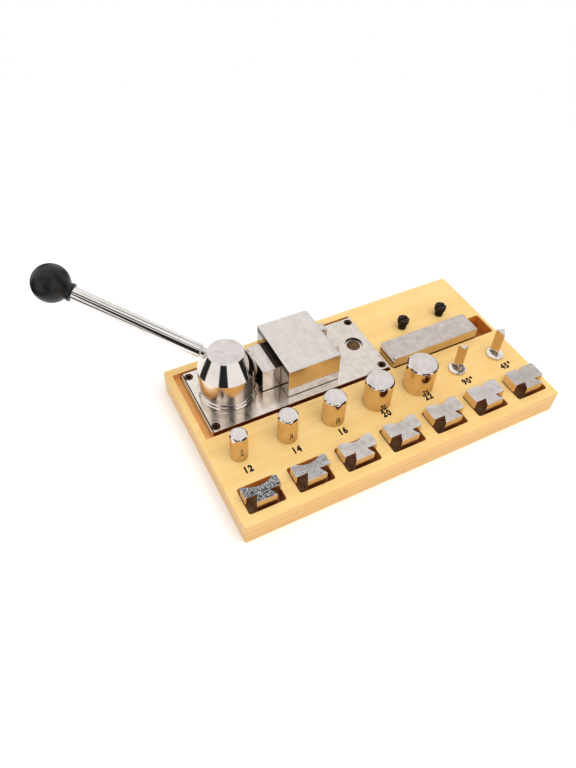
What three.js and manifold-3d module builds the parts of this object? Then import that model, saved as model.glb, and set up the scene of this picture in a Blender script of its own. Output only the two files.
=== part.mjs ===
// Ring bending machine on its storage board: a lever turns an eccentric hub, the hub drives a ram
// through a guide block, and the ram presses a die against a mandrel that stands in the base plate.
// The board stores the loose tools: five round mandrels, two pointed pins, seven dies, a flat bar
// and two shoulder screws.
// Millimetres. The origin is the centre of the board's underside, +X runs along the board towards
// the mandrel socket, +Y away from the user and +Z up.

import * as THREE from 'three';
import { mergeVertices } from 'three/addons/utils/BufferGeometryUtils.js';
import Module from 'manifold-3d';

const wasm = await Module();
wasm.setup();

// Driving dimensions

// A cut runs this far past the face that it opens, so that no skin is left.
const overrun = 1;
// Fixed round fits and seats that are cut keep this gap all round.
const seatGap = 0.3;
// Points closer than this become one when a geometry is made solid.
const weldGap = 1e-5;
// A press fit is drawn with this gap, so that the two solids stay apart.
const pressGap = 0.1;
// Sliding and turning faces run with this gap.
const runningGap = 0.2;

const board = { length: 250, depth: 142, thickness: 18, cornerRadius: 1.2 };

// The routed recess for the machine, measured from the board's front left corner. The strip of it
// that stays open to the left of the plate is less deep than the rest.
const recess = {
  fromLeft: 4.8, fromFront: 72.2, length: 147.4, width: 63.8, depth: 10, stripDepth: 5, cornerRadius: 0.8,
};

// The flat bar's slot lies in line with the recess's front wall, at the same depth. A thin wall
// parts the two.
const slot = { leftWall: 1.8, width: 20.4, rightWall: 2.4, cornerRadius: 2 };

// One row of equal pockets for the dies, and one row of tools behind it at the same pitch.
const pocket = { width: 26, length: 20.5, depth: 10, fromFront: 7.4, cornerRadius: 1.6 };
const row = { firstFromLeft: 19.6, lastFromRight: 17.7, toolsFromFront: 51.2 };

// The plate fills the recess but for a gap on each side.
const plate = {
  thickness: 12, cornerRadius: 1.2, gapLeft: 5.4, gapRight: 0.4, gapFront: 1.7, gapBack: 3.7,
};
const plateScrew = {
  inset: 4.3, headRadius: 2.9, headHeight: 3.2, shankRadius: 1.8, length: 15,
  socketAcrossFlats: 3, socketDepth: 1.8, headSink: 0.4,
};
// The hole that takes the foot of a mandrel, with a shallow counterbore for a pin's disc.
const socket = { fromRight: 12.3, counterboreDepth: 1.7 };

const guide = {
  length: 40.8, height: 25.3, fromPlateLeft: 60.3, fromPlateFront: 6.1, fromPlateBack: 1, roof: 5,
  chamferRun: 4.5, chamferDrop: 0.9, edgeBreak: 0.5,
};
const guideScrew = {
  shankRadius: 2.5, headRadius: 4.2, headHeight: 5, grip: 12, endInset: 8,
  socketAcrossFlats: 4, socketDepth: 2.5,
};

const ram = { width: 26.6, pastGuide: 6.2 };
const springPocket = { width: 8.4, height: 8.4, length: 27, fromRamLeft: 20 };
const spring = { wireRadius: 0.6, meanRadius: 3.1, turns: 9, stepsPerTurn: 10, sides: 5 };
const stopPin = { radius: 2.5, pressedDepth: 7, height: 6 };

// The hub's outline stands round its own centre, and it turns about the spindle beside it.
const hub = {
  fromPlateLeft: 25, height: 37.6, lipRadius: 21, lipHeight: 4.8, grooveWidth: 0.8, grooveDepth: 1.4,
  bodyRadius: 20, coneHeight: 13.9, topRadius: 12.6, edgeBreak: 0.5, eccentricity: 3.5,
};
const spindle = { radius: 6, depthInHub: 17, screwRadius: 2.5, screwDepth: 12 };
const bush = { wall: 2.5, flangeRadius: 12.5, flangeHeight: 0.9 };
const retainer = { washerRadius: 9.5, washerHeight: 1.6, headRadius: 4.4, headHeight: 2.4, counterboreDepth: 5 };
const retainerSocket = { acrossFlats: 3, depth: 1.4 };

const lever = {
  azimuth: 137.5, elevation: 18, length: 127, axisBelowTop: 10.1, radius: 4.75,
  footRadius: 3.5, footDepth: 10, footBare: 2.4, endRadius: 3.6, endLength: 8, edgeBreak: 0.6,
};
const knob = { radius: 13.2, collarRadius: 6.4, waistRadius: 5.9, collarReach: 15.2, collarHeight: 1.4 };
const insert = { radius: 5, length: 11, depthInKnob: 0.3 };

const toolFoot = { radius: 4.8, length: 9, chamfer: 0.6 };
const mandrel = { diameters: [12, 14, 16, 20, 22], height: 23, edgeBreak: 0.5 };
const pin = { discRadius: 6.5, discHeight: 1.5, height: 23.4 };
// Each pin's point has the included angle that its name gives. Its round foot lets it stand turned:
// the point faces this many degrees from the user's side, clockwise seen from above.
const pins = [
  { angle: 90, width: 6.8, back: 0.5, turn: 35 },
  { angle: 45, width: 6, back: 0.5, turn: 16 },
];

// Every die has the same tail and height, and fills its pocket's width. The die that stands in
// front of a mandrel is the one for the mandrel at the other end of the row, so the widest arc
// comes first.
const die = {
  sideGap: 0.35, height: 18, cornerBreak: 0.7,
  neckWidth: 8.6, tailWidth: 14.2, tailDepth: 5.6, tailFromPocketFront: 1.6,
};
// A die's reach is a share of the pocket behind its shoulder. Its arc or notch is a share of its
// own half width across and of its reach deep.
const dies = [
  { name: 'die_for_22', reachShare: 0.602, arcShare: 0.79, depthShare: 0.375 },
  { name: 'die_for_20', reachShare: 0.662, arcShare: 0.711, depthShare: 0.318 },
  { name: 'die_for_16', reachShare: 0.782, arcShare: 0.593, depthShare: 0.25 },
  { name: 'die_for_14', reachShare: 0.835, arcShare: 0.538, depthShare: 0.234 },
  { name: 'die_for_12', reachShare: 0.902, arcShare: 0.49, depthShare: 0.225 },
  { name: 'die_90', reachShare: 0.94, notchAngle: 90, depthShare: 0.208 },
  { name: 'die_45', reachShare: 0.962, notchAngle: 45, depthShare: 0.313 },
];

// The bar fills the slot's width, and leaves room for a finger at the slot's far end.
const bar = { height: 19.1, sideGap: 0.7, endGap: 0.4, fingerRoom: 17.5, edgeBreak: 0.4 };

const shoulderScrew = {
  headRadius: 4.5, headHeight: 3.4, neckRadius: 2.6, neckHeight: 2.2, collarRadius: 3.3, collarHeight: 3.4,
  shankRadius: 2.2, shankLength: 8, slotWidth: 1.2, slotDepth: 1.5, fromFront: 106.8,
};
// The two shoulder screws stand at these shares of the board that is left beside the recess.
const shoulderScrewShares = [0.3313, 0.6913];

const roundSides = { large: 56, medium: 32, small: 20 };
const hexSides = 6;
// A routed or rounded corner has this many steps, and a die's arc or the knob's ball this many.
const cornerSteps = 4;
const arcSteps = 14;

// Places that follow from the dimensions above

const boardLeft = -board.length / 2;
const boardFront = -board.depth / 2;
const boardTop = board.thickness;

const recessLeft = boardLeft + recess.fromLeft;
const recessRight = recessLeft + recess.length;
const recessFront = boardFront + recess.fromFront;
const recessFloor = boardTop - recess.depth;

const plateLeft = recessLeft + plate.gapLeft;
const plateRight = recessRight - plate.gapRight;
const plateFront = recessFront + plate.gapFront;
const plateBack = recessFront + recess.width - plate.gapBack;
const plateTop = recessFloor + plate.thickness;

const guideLeft = plateLeft + guide.fromPlateLeft;
const guideRight = guideLeft + guide.length;
const guideFront = plateFront + guide.fromPlateFront;
const guideBack = plateBack - guide.fromPlateBack;
const guideTop = plateTop + guide.height;
// The ram, the hub and the tool socket lie on the guide block's middle line.
const axisY = (guideFront + guideBack) / 2;

const hubX = plateLeft + hub.fromPlateLeft;
const hubBase = plateTop + seatGap;
const pivotX = hubX + hub.eccentricity;
const leverHeight = hub.height - lever.axisBelowTop;

const ramLeft = hubX + hub.lipRadius + seatGap;
const ramRight = guideRight + ram.pastGuide;
const ramBase = plateTop + runningGap;
const ramTop = guideTop - guide.roof - runningGap;

const socketX = plateRight - socket.fromRight;
const stopPinX = ramLeft + springPocket.fromRamLeft + springPocket.length - stopPin.radius - seatGap;

// Materials

const metal = (color, roughness) => new THREE.MeshStandardMaterial({ color, roughness, metalness: 1 });
const plain = (color, roughness) => new THREE.MeshStandardMaterial({ color, roughness, metalness: 0 });
const finishes = {
  plywood: () => plain(0xe3ad5c, 0.45),
  nickel: () => metal(0xcfcbc4, 0.15),
  groundSteel: () => metal(0xc4c0bb, 0.38),
  blackOxide: () => metal(0x232325, 0.45),
  bronze: () => metal(0xb08a4a, 0.35),
  brass: () => metal(0xc9a552, 0.3),
  springSteel: () => metal(0x8d8f92, 0.3),
  blackPlastic: () => plain(0x141416, 0.3),
};

// Solids: a closed geometry becomes a manifold, is cut or joined, and comes back as a geometry.

function toSolid(geometry) {
  const bare = geometry.index ? geometry.toNonIndexed() : geometry.clone();
  bare.deleteAttribute('normal');
  bare.deleteAttribute('uv');
  const welded = mergeVertices(bare, weldGap);
  return new wasm.Manifold(new wasm.Mesh({
    numProp: 3,
    vertProperties: new Float32Array(welded.attributes.position.array),
    triVerts: new Uint32Array(welded.index.array),
  }));
}

function toGeometry(solid) {
  const mesh = solid.getMesh();
  const geometry = new THREE.BufferGeometry();
  geometry.setAttribute('position', new THREE.BufferAttribute(mesh.vertProperties, mesh.numProp));
  geometry.setIndex(new THREE.BufferAttribute(mesh.triVerts, 1));
  geometry.computeVertexNormals();
  return geometry;
}

const cut = (body, ...tools) => tools.reduce((left, tool) => left.subtract(tool), body);
const join = (body, ...more) => more.reduce((whole, piece) => whole.add(piece), body);

function boxSolid(xRange, yRange, zRange) {
  const size = [xRange, yRange, zRange].map(([low, high]) => high - low);
  const middle = [xRange, yRange, zRange].map(([low, high]) => (low + high) / 2);
  return toSolid(new THREE.BoxGeometry(...size).translate(...middle));
}

// An outline in the XY plane, raised from one height to another.
function raised(shape, bottom, top, curveSegments = cornerSteps) {
  const geometry = new THREE.ExtrudeGeometry(shape, { depth: top - bottom, bevelEnabled: false, curveSegments });
  return toSolid(geometry.translate(0, 0, bottom));
}

// A turned piece: the profile is a list of [radius, height] from the axis back to the axis.
function turned(profile, sides) {
  const points = profile.map(([radius, height]) => new THREE.Vector2(radius, height));
  return toSolid(new THREE.LatheGeometry(points, sides).rotateX(Math.PI / 2));
}

const disc = (radius, bottom, top, sides) =>
  turned([[0, bottom], [radius, bottom], [radius, top], [0, top]], sides);

// An outline through the given corners, each one rounded by the same radius.
function roundedOutline(corners, radius) {
  const shape = new THREE.Shape();
  corners.forEach((corner, index) => {
    const before = corners.at(index - 1);
    const after = corners[(index + 1) % corners.length];
    const towards = (other) => corner.clone().add(other.clone().sub(corner).setLength(radius));
    const enter = towards(before);
    const leave = towards(after);
    if (index === 0) shape.moveTo(enter.x, enter.y);
    else shape.lineTo(enter.x, enter.y);
    shape.quadraticCurveTo(corner.x, corner.y, leave.x, leave.y);
  });
  shape.closePath();
  return shape;
}

const outlineOf = (points, radius) => roundedOutline(points.map(([x, y]) => new THREE.Vector2(x, y)), radius);

const roundedRectangle = (left, front, right, back, radius) =>
  outlineOf([[left, front], [right, front], [right, back], [left, back]], radius);

const group = new THREE.Group();

function addMesh(name, solid, finish, place = [0, 0, 0]) {
  const mesh = new THREE.Mesh(toGeometry(solid), finish());
  mesh.name = name;
  mesh.position.set(...place);
  group.add(mesh);
  return mesh;
}

const hexRadius = (acrossFlats) => acrossFlats / 2 / Math.cos(Math.PI / hexSides);
const radians = THREE.MathUtils.degToRad;

// The places of the repeated pieces

const toolCount = mandrel.diameters.length + pins.length;
const toolIndexes = [...Array(toolCount).keys()];
const rowPitch = (board.length - row.firstFromLeft - row.lastFromRight) / (toolCount - 1);
const rowX = (index) => boardLeft + row.firstFromLeft + rowPitch * index;
const toolY = boardFront + row.toolsFromFront;

const plateScrewPlaces = [plateLeft + plateScrew.inset, plateRight - plateScrew.inset]
  .flatMap((x) => [plateFront + plateScrew.inset, plateBack - plateScrew.inset].map((y) => [x, y]));

// The guide block's screws stand in the middle of the walls beside the tunnel.
const tunnelHalfWidth = ram.width / 2 + runningGap;
const guideScrewPlaces = [guideLeft + guideScrew.endInset, guideRight - guideScrew.endInset]
  .flatMap((x) => [
    [x, (guideFront + axisY - tunnelHalfWidth) / 2],
    [x, (guideBack + axisY + tunnelHalfWidth) / 2],
  ]);

const shoulderScrewPlaces = shoulderScrewShares.map((share) => [
  recessRight + (-boardLeft - recessRight) * share,
  boardFront + shoulderScrew.fromFront,
]);

const slotLeft = recessRight + slot.leftWall;
const slotRight = -boardLeft - slot.rightWall;
const barLeft = slotLeft + bar.endGap;
const barRight = slotRight - bar.fingerRoom;
const barMiddleY = recessFront + slot.width / 2;

// The board: one piece of plywood, routed for the machine, the bar and the dies, and drilled for
// the feet of the tools.
function woodBase() {
  const slab = raised(
    roundedRectangle(boardLeft, boardFront, -boardLeft, -boardFront, board.cornerRadius), 0, boardTop);
  const recessBack = recessFront + recess.width;
  const openStrip = raised(
    roundedRectangle(recessLeft, recessFront, recessRight, recessBack, recess.cornerRadius),
    boardTop - recess.stripDepth, boardTop + overrun);
  const machineRecess = raised(
    roundedRectangle(plateLeft - seatGap, recessFront, recessRight, recessBack, recess.cornerRadius),
    recessFloor, boardTop + overrun);
  const barSlot = raised(
    roundedRectangle(slotLeft, recessFront, slotRight, recessFront + slot.width, slot.cornerRadius),
    recessFloor, boardTop + overrun);
  const pockets = toolIndexes.map((index) => {
    const front = boardFront + pocket.fromFront;
    const half = pocket.width / 2;
    return raised(
      roundedRectangle(rowX(index) - half, front, rowX(index) + half, front + pocket.length, pocket.cornerRadius),
      boardTop - pocket.depth, boardTop + overrun);
  });
  const footDepth = toolFoot.length + seatGap;
  const footHoles = toolIndexes.map((index) =>
    disc(toolFoot.radius + seatGap, boardTop - footDepth, boardTop + overrun, roundSides.small)
      .translate(rowX(index), toolY, 0));
  const screwTip = plateTop - plateScrew.headSink - plateScrew.length;
  const pilotHoles = plateScrewPlaces.map(([x, y]) =>
    disc(plateScrew.shankRadius + pressGap, screwTip - seatGap, recessFloor + overrun, roundSides.small)
      .translate(x, y, 0));
  const shankDepth = shoulderScrew.shankLength + seatGap;
  const screwHoles = shoulderScrewPlaces.map(([x, y]) =>
    disc(shoulderScrew.shankRadius + seatGap, boardTop - shankDepth, boardTop + overrun, roundSides.small)
      .translate(x, y, 0));
  return cut(slab, openStrip, machineRecess, barSlot, ...pockets, ...footHoles, ...pilotHoles, ...screwHoles);
}

// The base plate carries the whole machine. It is counterbored on top for its four screws and the
// tool socket, and underneath for the guide block's screws and the spindle's washer.
function machinePlate() {
  const blank = raised(
    roundedRectangle(plateLeft, plateFront, plateRight, plateBack, plate.cornerRadius),
    recessFloor, plateTop);
  const headFloor = plateTop - plateScrew.headSink - plateScrew.headHeight;
  const topHoles = plateScrewPlaces.map(([x, y]) => join(
    disc(plateScrew.headRadius + seatGap, headFloor, plateTop + overrun, roundSides.small),
    disc(plateScrew.shankRadius + seatGap, recessFloor - overrun, plateTop, roundSides.small),
  ).translate(x, y, 0));
  const toolSocket = join(
    disc(pin.discRadius + seatGap, plateTop - socket.counterboreDepth, plateTop + overrun, roundSides.medium),
    disc(toolFoot.radius + seatGap, recessFloor - overrun, plateTop, roundSides.medium),
  ).translate(socketX, axisY, 0);
  const underHoles = guideScrewPlaces.map(([x, y]) => join(
    disc(guideScrew.headRadius + seatGap, recessFloor - overrun,
      recessFloor + guideScrew.headHeight + seatGap, roundSides.small),
    disc(guideScrew.shankRadius + seatGap, recessFloor, plateTop + overrun, roundSides.small),
  ).translate(x, y, 0));
  const spindleBore = join(
    disc(spindle.radius + runningGap + bush.wall + pressGap, recessFloor, plateTop + overrun, roundSides.medium),
    disc(retainer.washerRadius + seatGap, recessFloor - overrun,
      recessFloor + retainer.counterboreDepth, roundSides.medium),
  ).translate(pivotX, axisY, 0);
  const stopPinHole = disc(stopPin.radius + pressGap, plateTop - stopPin.pressedDepth,
    plateTop + overrun, roundSides.small).translate(stopPinX, axisY, 0);
  return cut(blank, ...topHoles, toolSocket, ...underHoles, spindleBore, stopPinHole);
}

// A socket-headed screw that stands on its head's underside at height zero, shank down.
function socketScrew(headRadius, headHeight, shankRadius, shankLength, acrossFlats, socketDepth) {
  const tip = shankRadius / 2;
  const blank = turned([
    [0, -shankLength], [shankRadius - tip, -shankLength], [shankRadius, tip - shankLength], [shankRadius, 0],
    [headRadius, 0], [headRadius, headHeight - tip / 2], [headRadius - tip / 2, headHeight], [0, headHeight],
  ], roundSides.small);
  const hexagon = disc(hexRadius(acrossFlats), headHeight - socketDepth, headHeight + overrun, hexSides);
  return cut(blank, hexagon);
}

// The guide block: a solid bridge with a tunnel for the ram, drilled from below for its screws. Its
// top edge slopes away on the side of the tool socket.
function guideBlock() {
  const profile = new THREE.Shape();
  const slopeX = guideRight - guide.chamferRun;
  const slopeZ = guideTop - guide.chamferDrop;
  profile.moveTo(guideLeft, plateTop);
  profile.lineTo(guideRight, plateTop);
  profile.lineTo(guideRight, slopeZ);
  profile.lineTo(slopeX, guideTop);
  profile.lineTo(guideLeft + guide.edgeBreak, guideTop);
  profile.lineTo(guideLeft, guideTop - guide.edgeBreak);
  profile.closePath();
  const block = toSolid(
    new THREE.ExtrudeGeometry(profile, { depth: guideBack - guideFront, bevelEnabled: false })
      .rotateX(Math.PI / 2).translate(0, guideBack, 0));
  const tunnel = boxSolid(
    [guideLeft - overrun, guideRight + overrun],
    [axisY - tunnelHalfWidth, axisY + tunnelHalfWidth],
    [plateTop - overrun, guideTop - guide.roof]);
  const holeTop = plateTop + guideScrew.grip + seatGap;
  const screwHoles = guideScrewPlaces.map(([x, y]) =>
    disc(guideScrew.shankRadius + pressGap, plateTop - overrun, holeTop, roundSides.small).translate(x, y, 0));
  return cut(block, tunnel, ...screwHoles);
}

// The ram's socket for a die's tail, seen from above: a dovetail that points along -X from its
// mouth at zero, wider and deeper than the tail by the seat gap.
function dovetailShape() {
  const neck = die.neckWidth / 2 + seatGap;
  const wide = die.tailWidth / 2 + seatGap;
  const depth = die.tailDepth + seatGap;
  const shape = new THREE.Shape();
  shape.moveTo(overrun, -neck);
  shape.lineTo(overrun, neck);
  shape.lineTo(0, neck);
  shape.lineTo(-depth, wide);
  shape.lineTo(-depth, -wide);
  shape.lineTo(0, -neck);
  shape.closePath();
  return shape;
}

// The ram: a ground bar with a dovetail socket at its working end and a pocket in its underside
// for the return spring and the fixed stop pin.
function ramSolid() {
  const halfWidth = ram.width / 2;
  const blank = boxSolid([ramLeft, ramRight], [axisY - halfWidth, axisY + halfWidth], [ramBase, ramTop]);
  const dovetail = raised(dovetailShape(), ramBase - overrun, ramTop + overrun)
    .translate(ramRight, axisY, 0);
  const pocketLeft = ramLeft + springPocket.fromRamLeft;
  const springRoom = boxSolid(
    [pocketLeft, pocketLeft + springPocket.length],
    [axisY - springPocket.width / 2, axisY + springPocket.width / 2],
    [ramBase - overrun, plateTop + springPocket.height]);
  return cut(blank, dovetail, springRoom);
}

// The return spring lies along X in the ram's pocket, between the pocket's end and the stop pin.
class Helix extends THREE.Curve {
  constructor(start, length, radius, turns, centreY, centreZ) {
    super();
    Object.assign(this, { start, length, radius, turns, centreY, centreZ });
  }

  getPoint(t, target = new THREE.Vector3()) {
    const angle = 2 * Math.PI * this.turns * t;
    return target.set(
      this.start + this.length * t,
      this.centreY + this.radius * Math.cos(angle),
      this.centreZ + this.radius * Math.sin(angle));
  }
}

function returnSpring() {
  const start = ramLeft + springPocket.fromRamLeft + seatGap + spring.wireRadius;
  const end = stopPinX - stopPin.radius - seatGap - spring.wireRadius;
  const centreZ = plateTop + runningGap + spring.meanRadius + spring.wireRadius;
  const path = new Helix(start, end - start, spring.meanRadius, spring.turns, axisY, centreZ);
  const section = new THREE.Shape();
  for (let side = 0; side < spring.sides; side += 1) {
    const angle = 2 * Math.PI * side / spring.sides;
    const point = [spring.wireRadius * Math.cos(angle), spring.wireRadius * Math.sin(angle)];
    if (side === 0) section.moveTo(...point);
    else section.lineTo(...point);
  }
  return toSolid(new THREE.ExtrudeGeometry(section, {
    steps: spring.turns * spring.stepsPerTurn, bevelEnabled: false, extrudePath: path,
  }));
}

// The hub: a cylinder with a lip at its foot and a cone on top. Its underside is bored for the
// spindle and relieved round the bush, and the lever screws into the cone's side.
function hubSolid() {
  const foot = hub.lipHeight;
  const shoulder = hub.height - hub.coneHeight;
  const grooveRadius = hub.bodyRadius - hub.grooveDepth;
  const profile = [
    [0, seatGap],
    [hub.lipRadius, seatGap],
    [hub.lipRadius, foot - hub.edgeBreak],
    [hub.lipRadius - hub.edgeBreak, foot],
    [grooveRadius, foot],
    [grooveRadius, foot + hub.grooveWidth],
    [hub.bodyRadius, foot + hub.grooveWidth],
    [hub.bodyRadius, shoulder],
    [hub.topRadius, hub.height - hub.edgeBreak],
    [hub.topRadius - hub.edgeBreak, hub.height],
    [0, hub.height],
  ];
  const body = turned(profile, roundSides.large);
  const spindleBore = disc(spindle.radius + pressGap, seatGap - overrun,
    seatGap + spindle.depthInHub + seatGap, roundSides.medium).translate(hub.eccentricity, 0, 0);
  const bushRelief = disc(bush.flangeRadius + runningGap, seatGap - overrun,
    bush.flangeHeight + runningGap, roundSides.medium).translate(hub.eccentricity, 0, 0);
  return cut(body, spindleBore, bushRelief, leverHole());
}

// The lever's own axis is +Z before it is turned to its elevation and azimuth.
const leverTurn = new THREE.Euler(0, Math.PI / 2 - radians(lever.elevation), radians(lever.azimuth), 'ZYX');
const leverStart = lever.footDepth + lever.footBare;

// Where the lever's axis leaves the cone, measured along the lever from the hub's own axis.
function coneDistance() {
  const slope = (hub.bodyRadius - hub.topRadius) / hub.coneHeight;
  const rise = Math.tan(radians(lever.elevation));
  const radiusAtAxis = hub.topRadius + slope * lever.axisBelowTop;
  const across = radiusAtAxis / (1 + slope * rise);
  return across / Math.cos(radians(lever.elevation));
}

function alongLever(solid) {
  const matrix = new THREE.Matrix4().makeRotationFromEuler(leverTurn)
    .setPosition(0, 0, leverHeight);
  return solid.transform(matrix.toArray());
}

function leverHole() {
  const mouth = coneDistance();
  return alongLever(disc(lever.footRadius + pressGap, mouth - lever.footDepth - seatGap,
    mouth + lever.footDepth, roundSides.small));
}

// The lever: a plain round rod with a thinner screwed end at the hub and another in the knob.
function leverRod() {
  const mouth = coneDistance();
  const inner = mouth - lever.footDepth;
  const rodStart = inner + leverStart;
  const knobFace = lever.length - knob.collarReach;
  const rodEnd = knobFace - seatGap;
  return alongLever(turned([
    [0, inner],
    [lever.footRadius, inner],
    [lever.footRadius, rodStart],
    [lever.radius - lever.edgeBreak, rodStart],
    [lever.radius, rodStart + lever.edgeBreak],
    [lever.radius, rodEnd - lever.edgeBreak],
    [lever.radius - lever.edgeBreak, rodEnd],
    [lever.endRadius, rodEnd],
    [lever.endRadius, knobFace + insert.depthInKnob + lever.endLength],
    [0, knobFace + insert.depthInKnob + lever.endLength],
  ], roundSides.medium));
}

function knobInsert() {
  const knobFace = lever.length - knob.collarReach;
  const mouth = knobFace + insert.depthInKnob;
  const bore = disc(lever.endRadius + pressGap, mouth - overrun, mouth + lever.endLength + seatGap, roundSides.small);
  return alongLever(cut(disc(insert.radius, mouth, mouth + insert.length, roundSides.small), bore));
}

// The knob: a moulded ball with a short flared collar, hollow only for its brass insert.
function ballKnob() {
  const centre = lever.length;
  const face = centre - knob.collarReach;
  const waistAngle = Math.asin(knob.waistRadius / knob.radius);
  const profile = [[0, face], [knob.collarRadius, face], [knob.collarRadius, face + knob.collarHeight / 2]];
  for (let step = 0; step <= arcSteps; step += 1) {
    const angle = waistAngle + (Math.PI - waistAngle) * step / arcSteps;
    const radius = step === arcSteps ? 0 : knob.radius * Math.sin(angle);
    profile.push([radius, centre - knob.radius * Math.cos(angle)]);
  }
  const ball = turned(profile, roundSides.medium);
  const insertRoom = disc(insert.radius + pressGap, face - overrun,
    face + insert.depthInKnob + insert.length + pressGap, roundSides.small);
  return alongLever(cut(ball, insertRoom));
}

// A mandrel and a pin stand on the board's top at height zero, with the foot below it.
const footProfile = [
  [0, -toolFoot.length],
  [toolFoot.radius - toolFoot.chamfer, -toolFoot.length],
  [toolFoot.radius, toolFoot.chamfer - toolFoot.length],
];

function mandrelSolid(diameter) {
  const radius = diameter / 2;
  return turned([
    ...footProfile,
    [toolFoot.radius, 0],
    [radius, 0],
    [radius, mandrel.height - mandrel.edgeBreak],
    [radius - mandrel.edgeBreak, mandrel.height],
    [0, mandrel.height],
  ], roundSides.medium);
}

// A pin's post has a flat back and a pointed front.
function pinSolid({ angle, width, back }) {
  const disk = turned([
    ...footProfile,
    [toolFoot.radius, 0],
    [pin.discRadius, 0],
    [pin.discRadius, pin.discHeight],
    [0, pin.discHeight],
  ], roundSides.medium);
  const half = width / 2;
  const point = half / Math.tan(radians(angle / 2));
  const backY = (back + point) / 2;
  const post = new THREE.Shape();
  post.moveTo(-half, backY);
  post.lineTo(-half, backY - back);
  post.lineTo(0, -backY);
  post.lineTo(half, backY - back);
  post.lineTo(half, backY);
  post.closePath();
  return join(disk, raised(post, pin.discHeight / 2, pin.height));
}

// A die seen from above: the tail points to the user and the arc or notch faces away. Its own
// origin is the middle of the shoulder where the tail begins.
function dieSolid(tool) {
  const half = pocket.width / 2 - die.sideGap;
  const reach = (pocket.length - die.tailFromPocketFront - die.tailDepth) * tool.reachShare;
  const depth = reach * tool.depthShare;
  const neck = die.neckWidth / 2;
  const wide = die.tailWidth / 2;
  const corner = die.cornerBreak;
  const shape = new THREE.Shape();
  shape.moveTo(-wide, -die.tailDepth);
  shape.lineTo(wide, -die.tailDepth);
  shape.lineTo(neck, 0);
  shape.lineTo(half - corner, 0);
  shape.lineTo(half, corner);
  shape.lineTo(half, reach - corner);
  shape.lineTo(half - corner, reach);
  if (tool.notchAngle) {
    const mouth = depth * Math.tan(radians(tool.notchAngle / 2));
    shape.lineTo(mouth, reach);
    shape.lineTo(0, reach - depth);
    shape.lineTo(-mouth, reach);
  } else {
    const arcHalf = half * tool.arcShare;
    const radius = (arcHalf ** 2 + depth ** 2) / (2 * depth);
    const sweep = Math.asin(arcHalf / radius);
    shape.absarc(0, reach - depth + radius, radius, sweep - Math.PI / 2, -sweep - Math.PI / 2, true);
  }
  shape.lineTo(corner - half, reach);
  shape.lineTo(-half, reach - corner);
  shape.lineTo(-half, corner);
  shape.lineTo(corner - half, 0);
  shape.lineTo(-neck, 0);
  shape.closePath();
  return raised(shape, 0, die.height, arcSteps);
}

function barSolid() {
  const shape = new THREE.Shape();
  const half = slot.width / 2 - bar.sideGap;
  const edge = bar.edgeBreak;
  shape.moveTo(0, -half);
  shape.lineTo(bar.height - edge, -half);
  shape.lineTo(bar.height, edge - half);
  shape.lineTo(bar.height, half - edge);
  shape.lineTo(bar.height - edge, half);
  shape.lineTo(0, half);
  shape.closePath();
  return toSolid(new THREE.ExtrudeGeometry(shape, { depth: barRight - barLeft, bevelEnabled: false })
    .rotateY(-Math.PI / 2).translate(barRight, barMiddleY, recessFloor));
}

// A shoulder screw stands with its collar on the board and its slotted head up.
function shoulderScrewSolid() {
  const neckTop = shoulderScrew.collarHeight + shoulderScrew.neckHeight;
  const headTop = neckTop + shoulderScrew.headHeight;
  const blank = turned([
    [0, -shoulderScrew.shankLength],
    [shoulderScrew.shankRadius, -shoulderScrew.shankLength],
    [shoulderScrew.shankRadius, 0],
    [shoulderScrew.collarRadius, 0],
    [shoulderScrew.collarRadius, shoulderScrew.collarHeight],
    [shoulderScrew.neckRadius, shoulderScrew.collarHeight],
    [shoulderScrew.neckRadius, neckTop],
    [shoulderScrew.headRadius, neckTop],
    [shoulderScrew.headRadius, headTop],
    [0, headTop],
  ], roundSides.small);
  const reach = shoulderScrew.headRadius + overrun;
  const half = shoulderScrew.slotWidth / 2;
  return cut(blank, boxSolid([-reach, reach], [-half, half], [headTop - shoulderScrew.slotDepth, headTop + overrun]));
}

// Assembly: the board and the machine's fixed pieces

addMesh('wood_base', woodBase(), finishes.plywood);
addMesh('machine_plate', machinePlate(), finishes.nickel);

plateScrewPlaces.forEach(([x, y], index) => {
  const screw = socketScrew(plateScrew.headRadius, plateScrew.headHeight, plateScrew.shankRadius,
    plateScrew.length - plateScrew.headHeight, plateScrew.socketAcrossFlats, plateScrew.socketDepth);
  const seat = plateTop - plateScrew.headSink - plateScrew.headHeight;
  addMesh(`plate_screw_${index + 1}`, screw, finishes.blackOxide, [x, y, seat]);
});

addMesh('guide_block', guideBlock(), finishes.groundSteel);

// The guide block's screws go in from below, head down in the plate's counterbores.
guideScrewPlaces.forEach(([x, y], index) => {
  const shankLength = plate.thickness - guideScrew.headHeight - seatGap + guideScrew.grip;
  const screw = socketScrew(guideScrew.headRadius, guideScrew.headHeight, guideScrew.shankRadius,
    shankLength, guideScrew.socketAcrossFlats, guideScrew.socketDepth).rotate([180, 0, 0]);
  addMesh(`guide_screw_${index + 1}`, screw, finishes.blackOxide,
    [x, y, recessFloor + guideScrew.headHeight + seatGap]);
});

addMesh('spring_stop_pin', disc(stopPin.radius, plateTop - stopPin.pressedDepth,
  plateTop + stopPin.height, roundSides.small).translate(stopPinX, axisY, 0), finishes.springSteel);
addMesh('return_spring', returnSpring(), finishes.springSteel);

// The bush is pressed into the plate, with its flange under the hub.
const bushBody = turned([
  [spindle.radius + runningGap, recessFloor + retainer.counterboreDepth],
  [spindle.radius + runningGap + bush.wall, recessFloor + retainer.counterboreDepth],
  [spindle.radius + runningGap + bush.wall, plateTop],
  [bush.flangeRadius, plateTop],
  [bush.flangeRadius, plateTop + bush.flangeHeight],
  [spindle.radius + runningGap, plateTop + bush.flangeHeight],
  [spindle.radius + runningGap, recessFloor + retainer.counterboreDepth],
], roundSides.medium);
addMesh('spindle_bush', bushBody.translate(pivotX, axisY, 0), finishes.bronze);

// The ram

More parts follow.
